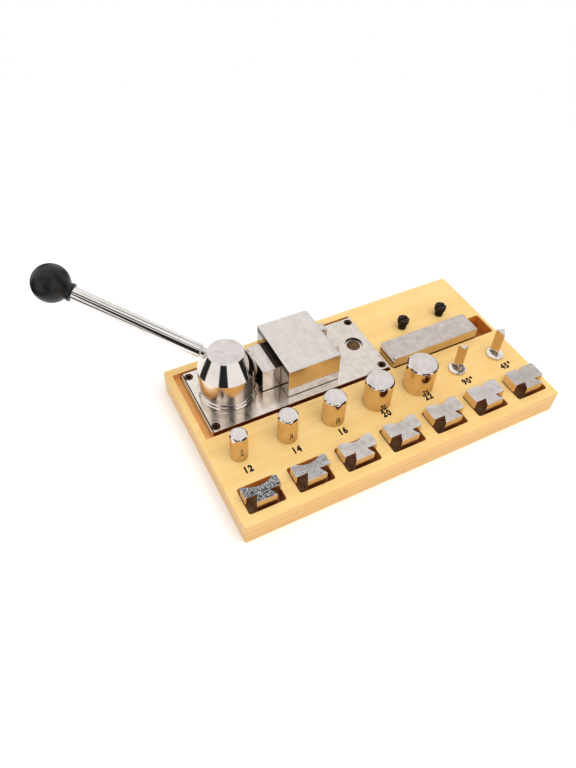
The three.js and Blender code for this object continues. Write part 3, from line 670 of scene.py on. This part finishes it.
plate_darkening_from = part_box("guide_block")[1].x


def worn_plate(net, place):
    """Painted shade in a line inside the plate's left edge, and the plate darker from the guide on."""
    along = net.split(place)["X"]
    inside_edge = net.ramp(along, plate_low.x + 0.3 * MM, plate_low.x + 0.6 * MM)
    oil_and_shade = net.times(inside_edge, net.falling(along, plate_low.x + 1.3 * MM, plate_low.x + 1.6 * MM))
    darker_end = net.ramp(along, plate_darkening_from - 2 * MM, plate_darkening_from + 8 * MM, 0.0, 0.13)
    return net.larger(oil_and_shade, darker_end)


plate_top = plate_high.z
plate_corner, plate_break = 1.2 * MM, 0.5 * MM
head_hole_radius, head_hole_depth, shank_hole_radius = 3.2 * MM, 3.6 * MM, 2.1 * MM
socket_inset, socket_sides = 12.3 * MM, 72
socket_x = plate_high.x - socket_inset
axis_y = middle("ram").y
counterbore_radius, counterbore_depth, socket_radius = 6.8 * MM, 1.7 * MM, 5.1 * MM
under_head_radius, under_head_depth, under_shank_radius = 4.5 * MM, 5.3 * MM, 2.8 * MM
bush_bore_radius, washer_bore_radius, washer_bore_depth = 8.8 * MM, 9.8 * MM, 5 * MM
stop_hole_radius = 2.6 * MM
guide_screw_nodes = [f"guide_screw_{number}" for number in range(1, 5)]
pivot = middle("hub_spindle")

plate = slab("machine_base_plate", plate_low, plate_high, plate_corner)
above_plate, below_plate = plate_top + overcut, plate_low.z - overcut
cutters = []
for node in plate_screw_nodes:
    cutters.append(drill(middle(node), head_hole_radius, plate_top - head_hole_depth, above_plate))
    cutters.append(drill(middle(node), shank_hole_radius, below_plate, plate_top))
socket = (socket_x, axis_y)
cutters.append(drill(socket, counterbore_radius, plate_top - counterbore_depth, above_plate, socket_sides))
cutters.append(drill(socket, socket_radius, below_plate, plate_top, socket_sides))
for node in guide_screw_nodes:
    cutters.append(drill(middle(node), under_head_radius, below_plate, plate_low.z + under_head_depth))
    cutters.append(drill(middle(node), under_shank_radius, plate_low.z, above_plate))
cutters.append(drill(pivot, bush_bore_radius, plate_low.z, above_plate))
cutters.append(drill(pivot, washer_bore_radius, below_plate, plate_low.z + washer_bore_depth))
stop_pin_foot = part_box("spring_stop_pin")[0].z
cutters.append(drill(middle("spring_stop_pin"), stop_hole_radius, stop_pin_foot, above_plate))
carve(plate, cutters)
break_edges(plate, plate_break)


def dark_counterbore(net, place):
    """Painted shade on the wall of the counterbore."""
    split = net.split(place)
    tilt = net.math("ABSOLUTE", net.facing("Z"))
    away = net.larger(net.away(split["X"], socket_x), net.away(split["Y"], axis_y))
    near = net.math("LESS_THAN", away, counterbore_radius + 0.4 * MM)
    over_floor = net.math("GREATER_THAN", split["Z"], plate_top - counterbore_depth)
    return net.times(near, net.times(net.falling(tilt, 0.2, 0.4), over_floor))


plate_nickel = ground_metal(
    "plate_nickel", (0.90, 0.82, 0.745), (0.66, 0.58, 0.51), 0.15, (1700.0, 60.0, 1700.0),
    mottle=0.35, line_depth=0.0022 * MM, darkening=worn_plate)
# The plate's sides take the full edge brightening, which paints a highlight along the plate's edges.
plate_sides = bright_metal(
    "plate_sides", (0.84, 0.76, 0.68), (0.66, 0.58, 0.50), 0.08, edge_amount=1.0, darkening=dark_counterbore)
dress(plate, "machine_plate", "base", "nickel", plate_sides, plate_nickel)
other_finish(plate, faces_up)


# Sunk screws
# Four hexagon-socket cap screws of blackened steel hold the plate down. Their heads lie a little
# below the plate's top.
def turned(name, profile, sides=96):
    """Turns (radius, height) points about the upright axis, from the axis back to the axis."""
    shape = bmesh.new()
    rings = []
    for radius, height in profile:
        turns = [2 * math.pi * side / sides for side in range(sides)] if radius else [0]
        rings.append([
            shape.verts.new((radius * math.cos(turn), radius * math.sin(turn), height)) for turn in turns])
    for lower, upper in zip(rings, rings[1:]):
        for side in range(sides):
            following = (side + 1) % sides
            corners = [lower[side % len(lower)], lower[following % len(lower)],
                       upper[following % len(upper)], upper[side % len(upper)]]
            distinct = list(dict.fromkeys(corners))
            if len(distinct) > 2:
                shape.faces.new(distinct)
    return add_piece(name, shape)


def blackened_steel(name, tint, worn_tint, roughness):
    """Black oxide on turned steel: satin, brown where the oil has dried, bare on the edges."""
    material, net, shader = new_material(name, metallic=1.0)
    oil_and_shade = net.noise(net.coordinate(), 380.0, 4.0)
    turning = streaked(net, (200.0, 200.0, 5200.0), 0.3)
    edge = net.group(edge_wear_and_highlight, {"Amount": 0.5, "Radius": 0.25 * MM})
    colour = net.mix(net.ramp(oil_and_shade, 0.4, 0.75), tint, (0.07, 0.045, 0.032))
    colour = net.mix(net.times(edge, 0.7), colour, worn_tint)
    rough = net.ramp(oil_and_shade, 0.3, 0.75, roughness, roughness + 0.15)
    finish_shader(net, shader, colour, rough, net.ramp(turning, 0.3, 0.7), 0.005 * MM)
    return material


oiled_oxide = blackened_steel("oiled_oxide", (0.10, 0.045, 0.028), (0.45, 0.33, 0.25), 0.3)
screw_break = 0.25 * MM
head_radius, head_height, shank_radius = 2.9 * MM, 3.2 * MM, 1.8 * MM
tip_radius, tip_height = 0.9 * MM, 0.9 * MM
key_across_flats, key_floor = 3 * MM, 1.4 * MM
for node in plate_screw_nodes:
    low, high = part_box(node)
    x, y, _ = (low + high) / 2
    seat = high.z - head_height
    tip = low.z - seat
    screw = turned(f"sunk_{node}", [
        (0, tip), (tip_radius, tip), (shank_radius, tip + tip_height), (shank_radius, 0),
        (head_radius, 0), (head_radius, head_height), (0, head_height)], sides=64)
    screw.location = (x, y, seat)
    key_radius = key_across_flats / 2 / math.cos(math.pi / 6)
    key_hole = drill((0, 0), key_radius, key_floor, head_height + overcut, sides=6)
    key_hole.location = screw.location
    carve(screw, [key_hole])
    break_edges(screw, screw_break)
    dress(screw, node, "base", "black_oxide", oiled_oxide)


# Guide block
# A ground steel bridge over the ram, screwed to the plate from below. Its top slopes away at the
# edge over the socket. The sides are polished, the top is left as ground, and painted shade
# darkens the face over the ram and the joint at its foot.
def box_piece(name, low, high):
    corners = [(low[0], low[1]), (high[0], low[1]), (high[0], high[1]), (low[0], high[1])]
    return prism(name, corners, low[2], high[2])


guide_low, guide_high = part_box("guide_block")
ram_low, ram_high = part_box("ram")
running_gap = 0.2 * MM
slope_length, slope_drop, guide_break = 4.5 * MM, 0.9 * MM, 0.55 * MM
tapped_hole_radius, tapped_hole_spare = 2.6 * MM, 0.3 * MM
guide_outline = [
    (guide_low.x, guide_low.z), (guide_high.x, guide_low.z), (guide_high.x, guide_high.z - slope_drop),
    (guide_high.x - slope_length, guide_high.z), (guide_low.x, guide_high.z)]
guide = stretched(
    "guide_bridge", [(x, guide_low.y, z) for x, z in guide_outline], (0, guide_high.y - guide_low.y, 0))
cutters = [box_piece(
    "tunnel", (guide_low.x - overcut, ram_low.y - running_gap, guide_low.z - overcut),
    (guide_high.x + overcut, ram_high.y + running_gap, ram_high.z + running_gap))]
for node in guide_screw_nodes:
    hole_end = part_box(node)[1].z + tapped_hole_spare
    cutters.append(drill(middle(node), tapped_hole_radius, guide_low.z - overcut, hole_end))
carve(guide, cutters)
break_edges(guide, guide_break, angle=8)


def oil_over_ram(net, place):
    """Painted shade on the side towards the hub, darkest over and beside the ram, and in the joint below."""
    split = net.split(place)
    facing_hub = net.falling(net.facing("X"), -0.95, -0.85)
    above_ram = net.ramp(split["Z"], ram_high.z - 0.1 * MM, ram_high.z + 0.2 * MM)
    beside_ram = net.falling(net.away(split["Y"], ram_low.y), 1.3 * MM, 1.6 * MM)
    darkest = net.larger(net.larger(above_ram, beside_ram), 0.42)
    joint = net.falling(split["Z"], plate_top + 0.5 * MM, plate_top + 0.8 * MM)
    return net.larger(joint, net.times(facing_hub, darkest))


ground_steel = ground_metal(
    "ground_steel", (0.83, 0.765, 0.73), (0.62, 0.565, 0.53), 0.34, (1400.0, 110.0, 110.0), speck=0.12)
guide_steel = bright_metal(
    "guide_steel", (0.82, 0.77, 0.72), (0.70, 0.65, 0.60), 0.06, 0.006 * MM, darkening=oil_over_ram)
dress(guide, "guide_block", "base", "ground_steel", guide_steel, ground_steel)
other_finish(guide, faces_up)


# Ram
# A ground bar that slides through the guide block. The hub pushes its plain end, and its other end
# has a dovetail socket for a die. A pocket underneath holds the return spring. The top is darker in
# a band where it goes in under the guide block, and painted shade darkens the sides along their foot.
neck_half, tail_half, dovetail_depth = 4.6 * MM, 7.4 * MM, 5.9 * MM
spring_room_start, spring_room_end, spring_room_half, spring_room_top = 20 * MM, 47 * MM, 4.2 * MM, 8.4 * MM
ram_break = 0.35 * MM
ram = box_piece("sliding_ram", ram_low, ram_high)
dovetail = prism("dovetail", [
    (ram_high.x + overcut, axis_y - neck_half), (ram_high.x + overcut, axis_y + neck_half),
    (ram_high.x, axis_y + neck_half), (ram_high.x - dovetail_depth, axis_y + tail_half),
    (ram_high.x - dovetail_depth, axis_y - tail_half), (ram_high.x, axis_y - neck_half),
], ram_low.z - overcut, ram_high.z + overcut)
spring_room = box_piece(
    "spring_room", (ram_low.x + spring_room_start, axis_y - spring_room_half, ram_low.z - overcut),
    (ram_low.x + spring_room_end, axis_y + spring_room_half, plate_top + spring_room_top))
carve(ram, [dovetail, spring_room])
break_edges(ram, ram_break)
darker_band_length = 4.4 * MM


# The top is darker in a band from a little before the guide block to under it.
def oil_at_guide(net, place):
    along = net.split(place)["X"]
    oiled_from = guide_low.x - darker_band_length
    entered = net.ramp(along, oiled_from - 0.2 * MM, oiled_from + 0.2 * MM)
    return net.times(entered, net.falling(along, guide_low.x + 6 * MM, guide_low.x + 12 * MM))


# Painted shade along the foot of the ram, where it stands on the plate.
def oil_at_foot(net, place):
    return net.falling(net.split(place)["Z"], ram_low.z + 0.5 * MM, ram_low.z + 0.8 * MM)


ram_sides = bright_metal(
    "ram_sides", (0.84, 0.76, 0.67), (0.66, 0.56, 0.46), 0.07, 0.006 * MM, darkening=oil_at_foot)
ram_top = ground_metal(
    "ram_top", (0.80, 0.735, 0.70), (0.60, 0.545, 0.51), 0.34, (1400.0, 110.0, 110.0),
    mottle=0.4, speck=0.25, darkening=oil_at_guide)
dress(ram, "ram", "slider", "ground_steel", ram_sides, ram_top)
other_finish(ram, faces_up)


# Hub
# Turned steel, nickel plated: a lip at its foot, a groove, a plain body and a cone. It turns about
# a spindle that stands beside its own centre, so that it pushes the ram. Its top is faced only.
bright_nickel = bright_metal("bright_nickel", (0.86, 0.80, 0.74), (0.76, 0.70, 0.64), 0.035)
faced_nickel = ground_metal(
    "faced_nickel", (0.82, 0.765, 0.735), (0.60, 0.55, 0.52), 0.33, (300.0, 300.0, 300.0),
    mottle=0.4, speck=0.15)
turned_nickel = ground_metal(
    "turned_nickel", (0.90, 0.81, 0.72), (0.74, 0.64, 0.54), 0.13, (50.0, 50.0, 2400.0),
    mottle=0.2, line_depth=0.004 * MM)
hub_centre = middle("cam_hub")
hub_foot = Vector((hub_centre.x, hub_centre.y, plate_top))
hub_gap, hub_height, hub_break = 0.3 * MM, 37.6 * MM, 0.2 * MM
lip_radius, lip_height, body_radius = 21 * MM, 4.8 * MM, 20 * MM
cone_height, cone_top_radius = 13.9 * MM, 12.6 * MM
groove_width, groove_depth, lip_chamfer = 0.8 * MM, 0.4 * MM, 0.5 * MM
foot_height, lip_step = 1.4 * MM, 0.5 * MM
spindle_hole_radius, bush_relief_radius, bush_relief_height = 6.1 * MM, 12.7 * MM, 1.1 * MM
lever_azimuth, lever_elevation = math.radians(137.5), math.radians(18)
lever_below_top, lever_hole_radius, stub_depth = 10.1 * MM, 3.6 * MM, 10 * MM
lever_place = Matrix.Translation(hub_foot + Vector((0, 0, hub_height - lever_below_top))) @ Matrix.Rotation(
    lever_azimuth, 4, "Z") @ Matrix.Rotation(math.pi / 2 - lever_elevation, 4, "Y")
cone_slope = (body_radius - cone_top_radius) / cone_height
lever_mouth = (cone_top_radius + cone_slope * lever_below_top) / (
    1 + cone_slope * math.tan(lever_elevation)) / math.cos(lever_elevation)

hub = turned("eccentric_hub", [
    (0, hub_gap), (lip_radius, hub_gap), (lip_radius, foot_height),
    (lip_radius - lip_step, foot_height + lip_step), (lip_radius - lip_step, lip_height - lip_chamfer),
    (lip_radius - lip_step - lip_chamfer, lip_height), (body_radius - groove_depth, lip_height),
    (body_radius - groove_depth, lip_height + groove_width), (body_radius, lip_height + groove_width),
    (body_radius, hub_height - cone_height), (cone_top_radius, hub_height), (0, hub_height)], sides=144)
hub.location = hub_foot
spindle_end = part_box("hub_spindle")[1].z
lever_hole = drill((0, 0), lever_hole_radius, lever_mouth - stub_depth - hub_gap, lever_mouth + stub_depth)
lever_hole.matrix_world = lever_place
carve(hub, [
    drill(pivot, spindle_hole_radius, plate_top - overcut, spindle_end + hub_gap),
    drill(pivot, bush_relief_radius, plate_top - overcut, plate_top + bush_relief_height),
    lever_hole])
break_edges(hub, hub_break, angle=20)
dress(hub, "cam_hub", "lever", "nickel", bright_nickel, faced_nickel, turned_nickel)
other_finish(hub, faces_up)
other_finish(hub, lambda face: abs(face.normal.z) < 0.1, index=2)


# Lever
# A plain bright rod, 9.5 mm thick. A thinner stub screws it into the hub's cone, and another one
# holds the knob.
rod_radius, stub_radius, stub_bare, knob_stub_radius = 4.75 * MM, 3.5 * MM, 2.4 * MM, 3.6 * MM
lever_length, collar_reach, stub_in_knob, lever_break = 127 * MM, 15.2 * MM, 8.3 * MM, 0.5 * MM
knob_face = lever_length - collar_reach
rod_start, rod_end = lever_mouth + stub_bare, knob_face - hub_gap
stub_start, lever_end = lever_mouth - stub_depth, knob_face + stub_in_knob
lever = turned("lever_bar", [
    (0, stub_start), (stub_radius, stub_start), (stub_radius, rod_start), (rod_radius, rod_start),
    (rod_radius, rod_end), (knob_stub_radius, rod_end), (knob_stub_radius, lever_end), (0, lever_end)])
lever.data.transform(lever_place)
break_edges(lever, lever_break, segments=3)
rod_chrome = bright_metal("rod_chrome", (0.86, 0.83, 0.80), (0.72, 0.66, 0.60), 0.045, 0.003 * MM)
dress(lever, "lever_rod", "lever", "nickel", rod_chrome)


# Knob
# A moulded phenolic ball with a short collar, screwed on over a brass insert.
ball_radius, collar_radius, waist_radius, collar_height = 13.2 * MM, 6.4 * MM, 5.9 * MM, 1.4 * MM
collar_front, knob_break, ball_steps = knob_face - 0.06 * MM, 0.3 * MM, 40
insert_radius, insert_start, insert_end = 5.1 * MM, 0.4 * MM, 11.4 * MM
stub_hole_radius, stub_hole_depth = 4 * MM, 2 * MM
waist_angle = math.asin(waist_radius / ball_radius)
collar_back = knob_face + collar_height / 2
ball_profile = [(0, collar_front), (collar_radius, collar_front), (collar_radius, collar_back)]
for step in range(ball_steps + 1):
    angle = waist_angle + (math.pi - waist_angle) * step / ball_steps
    radius = 0 if step == ball_steps else ball_radius * math.sin(angle)
    ball_profile.append((radius, lever_length - ball_radius * math.cos(angle)))
knob = turned("knob_ball", ball_profile)
knob.data.transform(lever_place)
cutters = [
    drill((0, 0), insert_radius, knob_face + insert_start, knob_face + insert_end),
    drill((0, 0), stub_hole_radius, knob_face - overcut, knob_face + stub_hole_depth)]
for cutter in cutters:
    cutter.matrix_world = lever_place
carve(knob, cutters)
break_edges(knob, knob_break, angle=30)

phenolic, net, shader = new_material(
    "black_phenolic", ior=1.5, specular_ior_level=0.3, coat_weight=0.12, coat_roughness=0.08)
place = net.coordinate()
dust = net.noise(place, 2600.0)
flow = net.noise(place, 90.0, 4.0)
rubs = net.group(scratches, {"Amount": 0.6})
knob_colour = net.mix(net.ramp(flow, 0.35, 0.75), (0.005, 0.005, 0.0055), (0.011, 0.0105, 0.0105))
knob_colour = net.mix(net.ramp(dust, 0.70, 0.80, 0.0, 0.35), knob_colour, (0.2, 0.19, 0.18))
knob_colour = net.mix(net.times(rubs, 0.25), knob_colour, (0.1, 0.1, 0.1))
knob_height = net.plus(flow, net.times(rubs, -0.2))
finish_shader(net, shader, knob_colour, net.ramp(flow, 0.3, 0.8, 0.34, 0.46), knob_height, 0.01 * MM)
dress(knob, "ball_knob", "lever", "black_plastic", phenolic)


# Inner pieces
# What only shows when the machine is taken apart keeps its own shape: the bronze bush and the
# hardened spindle with its washer and screw, the guide block's screws, the spring and its stop,
# and the knob's brass insert.
bearing_bronze = bright_metal("bearing_bronze", (0.58, 0.38, 0.16), (0.42, 0.27, 0.12), 0.25)
insert_brass = bright_metal("insert_brass", (0.78, 0.57, 0.24), (0.6, 0.42, 0.17), 0.22)
spring_steel = bright_metal("spring_steel", (0.42, 0.42, 0.43), (0.25, 0.24, 0.24), 0.24)
black_oxide = blackened_steel("black_oxide", (0.035, 0.034, 0.036), (0.25, 0.24, 0.23), 0.34)
inner_finishes = {
    bearing_bronze: ["spindle_bush"],
    insert_brass: ["knob_insert"],
    spring_steel: ["hub_spindle", "retaining_washer", "return_spring", "spring_stop_pin"],
    black_oxide: ["retaining_screw", *guide_screw_nodes],
}
for finish, nodes in inner_finishes.items():
    for node in nodes:
        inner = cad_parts[node]
        inner.data.materials.clear()
        inner.data.materials.append(finish)


# Round mandrels
# Hardened steel, ground and polished to the diameter that is printed before each one, with a foot
# that fits the board's holes and the machine's socket. The tops are faced and lightly chamfered.
def oil_on_rim(net, place):
    """Patches of painted dark reflection in the chamfer round the top."""
    tilt = net.facing("Z")
    in_rim = net.times(net.ramp(tilt, 0.15, 0.3), net.falling(tilt, 0.85, 0.97))
    return net.times(in_rim, net.ramp(net.noise(place, 210.0), 0.46, 0.52))


# The mandrels' top chamfers take patches of painted dark reflection.
tool_nickel = bright_metal(
    "tool_nickel", (0.88, 0.81, 0.72), (0.60, 0.50, 0.38), 0.04, 0.010 * MM, darkening=oil_on_rim)
foot_radius, foot_length, foot_chamfer = 4.8 * MM, 9 * MM, 0.6 * MM


def foot_points(shoulder_radius):
    return [(0, -foot_length), (foot_radius - foot_chamfer, -foot_length),
            (foot_radius, foot_chamfer - foot_length), (foot_radius, 0), (shoulder_radius, 0)]


rim_width, rim_height, mandrel_break = 0.9 * MM, 0.8 * MM, 0.15 * MM
for size, node in zip(mandrel_sizes, tool_nodes):
    radius = size / 2 * MM
    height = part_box(node)[1].z - board_top
    mandrel = turned(f"round_{node}", [
        *foot_points(radius), (radius, height - rim_height), (radius - rim_width, height), (0, height),
    ], sides=128)
    mandrel.location = (middle(node).x, middle(node).y, board_top)
    break_edges(mandrel, mandrel_break)
    dress(mandrel, node, f"{node}_body", "nickel", tool_nickel, faced_nickel)
    other_finish(mandrel, faces_up)


# Pointed pins
# A round foot and disc with a flat-backed post whose front is ground to a point, at the angle that
# is printed before each one. They bend sharp corners.
post_nickel = ground_metal(
    "post_nickel", (0.84, 0.74, 0.62), (0.20, 0.14, 0.08), 0.12, (1300.0, 1300.0, 30.0),
    mottle=0.1, line_depth=0.003 * MM)
pin_disc_radius, pin_disc_height = 6.5 * MM, 1.5 * MM
disc_break, post_break = 0.2 * MM, 0.12 * MM
# Each pin's width, the thickness of its back, and how far it is turned in its hole.
pin_shapes = {90: (6.8 * MM, 0.5 * MM, 35), 45: (6 * MM, 0.5 * MM, 16)}
for angle, (width, back, turn) in pin_shapes.items():
    node = f"pin_{angle}"
    half = width / 2
    point = half / math.tan(math.radians(angle / 2))
    back_y = (back + point) / 2
    pin = turned(f"pointed_{node}", [
        *foot_points(pin_disc_radius), (pin_disc_radius, pin_disc_height), (0, pin_disc_height)])
    pin.location = (middle(node).x, middle(node).y, board_top)
    break_edges(pin, disc_break)
    post = prism(f"post_{node}", [
        (-half, back_y), (-half, back_y - back), (0, -back_y), (half, back_y - back), (half, back_y),
    ], pin_disc_height / 2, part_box(node)[1].z - board_top)
    post.location = pin.location
    post.rotation_euler.z = -math.radians(turn)
    break_edges(post, post_break)
    combine(pin, "UNION", [post])
    flatten_shading(pin)
    dress(pin, node, f"{node}_body", "nickel", bright_nickel, faced_nickel, post_nickel)
    other_finish(pin, lambda face: face.center.z > 1.2 * pin_disc_height, index=2)
    other_finish(pin, lambda face: faces_up(face) and face.center.z > 2 * pin_disc_height)


# Dies
# Seven ground steel blocks with a dovetail tail that drops into the ram. Five have an arc for a
# round mandrel, two a notch for a pointed pin. The first two have blotched, half-plated tops.
neck_half_width, tail_half_width, tail_depth = 4.3 * MM, 7.1 * MM, 5.6 * MM
die_corner, die_break = 0.7 * MM, 0.18 * MM
arc_steps = 32
# The arc's half width as a share of the die's, and its depth as a share of the die's reach.
arc_shares = {22: (0.79, 0.375), 20: (0.711, 0.318), 16: (0.593, 0.25), 14: (0.538, 0.234), 12: (0.49, 0.225)}
notch_depth_shares = {90: 0.208, 45: 0.313}


def working_edge(half, reach, arc=None, notch=None):
    """The die's far side from right to left, with its arc or its notch."""
    if notch:
        angle, depth_share = notch
        depth = reach * depth_share
        mouth = depth * math.tan(math.radians(angle / 2))
        return [(mouth, reach), (0, reach - depth), (-mouth, reach)]
    half_share, depth_share = arc
    arc_half, depth = half * half_share, reach * depth_share
    radius = (arc_half ** 2 + depth ** 2) / (2 * depth)
    sweep = math.asin(arc_half / radius)
    turns = [sweep - 2 * sweep * step / arc_steps for step in range(arc_steps + 1)]
    return [(radius * math.sin(turn), reach - depth + radius - radius * math.cos(turn)) for turn in turns]


# The tops grow cleaner along the row: the first is dark and mottled, the last plainly brushed.
# Each has its two colours, its clouds, its specks and how fine the specks are.
die_looks = [
    ((0.015, 0.015, 0.016), (0.62, 0.62, 0.65), 0.0, 1.0, 1100.0),
    ((0.76, 0.715, 0.70), (0.12, 0.11, 0.105), 0.15, 0.8, 1500.0),
    ((0.82, 0.755, 0.72), (0.50, 0.455, 0.42), 0.5, 0.3, 1500.0),
    ((0.82, 0.755, 0.72), (0.50, 0.455, 0.42), 0.5, 0.25, 1500.0),
    ((0.80, 0.735, 0.705), (0.50, 0.455, 0.42), 0.5, 0.25, 1500.0),
    ((0.80, 0.735, 0.705), (0.56, 0.51, 0.48), 0.4, 0.15, 1500.0),
    ((0.66, 0.605, 0.575), (0.46, 0.42, 0.39), 0.4, 0.15, 1500.0),
]
die_steel = bright_metal("die_steel", (0.86, 0.80, 0.73), (0.70, 0.63, 0.56), 0.2, 0.006 * MM)
for node, (tint, dark_tint, mottle, speck, grit_per_metre) in zip(die_nodes, die_looks):
    low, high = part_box(node)
    shoulder_y = low.y + tail_depth
    half = (high.x - low.x) / 2
    reach = high.y - shoulder_y
    size = int(node.split("_")[-1])
    if node.startswith("die_for"):
        edge = working_edge(half, reach, arc=arc_shares[size])
    else:
        edge = working_edge(half, reach, notch=(size, notch_depth_shares[size]))
    die = prism(f"bending_{node}", [
        (-tail_half_width, -tail_depth), (tail_half_width, -tail_depth), (neck_half_width, 0),
        (half - die_corner, 0), (half, die_corner), (half, reach - die_corner), (half - die_corner, reach),
        *edge,
        (die_corner - half, reach), (-half, reach - die_corner), (-half, die_corner), (die_corner - half, 0),
        (-neck_half_width, 0),
    ], 0, high.z - low.z)
    die.location = (middle(node).x, shoulder_y, low.z)
    break_edges(die, die_break, angle=25)
    die_top = ground_metal(
        f"top_{node}", tint, dark_tint, 0.33, (120.0, 900.0, 120.0),
        mottle=mottle, speck=speck, grit_per_metre=grit_per_metre)
    dress(die, node, f"{node}_body", "ground_steel", die_steel, die_top)
    other_finish(die, faces_up)


# Flat bar
# A ground bar for straightening and flattening. It lies in its slot and can be slid to the free
# end and lifted out.
bar_low, bar_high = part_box("flat_bar")
bar_break = 0.3 * MM
bar = box_piece("ground_bar", bar_low, bar_high)
break_edges(bar, bar_break)
bright_steel = bright_metal("bright_steel", (0.80, 0.765, 0.725), (0.70, 0.66, 0.62), 0.05, 0.006 * MM)
bar_steel = ground_metal(
    "bar_steel", (0.72, 0.65, 0.60), (0.50, 0.44, 0.40), 0.36, (130.0, 1100.0, 130.0),
    mottle=0.45, speck=0.15)
dress(bar, "flat_bar", "flat_bar_body", "ground_steel", bright_steel, bar_steel)
other_finish(bar, faces_up)


# Shoulder screws
# Two spare screws of blackened steel, with a slotted head, a thin neck and a collar. They stand in
# plain holes in the board.
spare_shank_radius, spare_collar_radius, spare_neck_radius, spare_head_radius = (
    radius * MM for radius in (2.2, 3.3, 2.6, 4.5))
spare_collar_top, spare_head_foot = 3.4 * MM, 5.6 * MM
slot_half_length, slot_half_width, slot_depth, slot_ceiling = 6 * MM, 0.6 * MM, 1.5 * MM, 12 * MM
for node in shoulder_screw_nodes:
    low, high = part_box(node)
    tip, head_top = low.z - board_top, high.z - board_top
    screw = turned(f"spare_{node}", [
        (0, tip), (spare_shank_radius, tip), (spare_shank_radius, 0), (spare_collar_radius, 0),
        (spare_collar_radius, spare_collar_top), (spare_neck_radius, spare_collar_top),
        (spare_neck_radius, spare_head_foot), (spare_head_radius, spare_head_foot),
        (spare_head_radius, head_top), (0, head_top)], sides=64)
    screw.location = (middle(node).x, middle(node).y, board_top)
    screw_slot = box_piece(
        "screw_slot", (-slot_half_length, -slot_half_width, high.z - slot_depth - board_top),
        (slot_half_length, slot_half_width, slot_ceiling))
    screw_slot.location = screw.location
    carve(screw, [screw_slot])
    break_edges(screw, screw_break)
    dress(screw, node, f"{node}_body", "black_oxide", black_oxide)
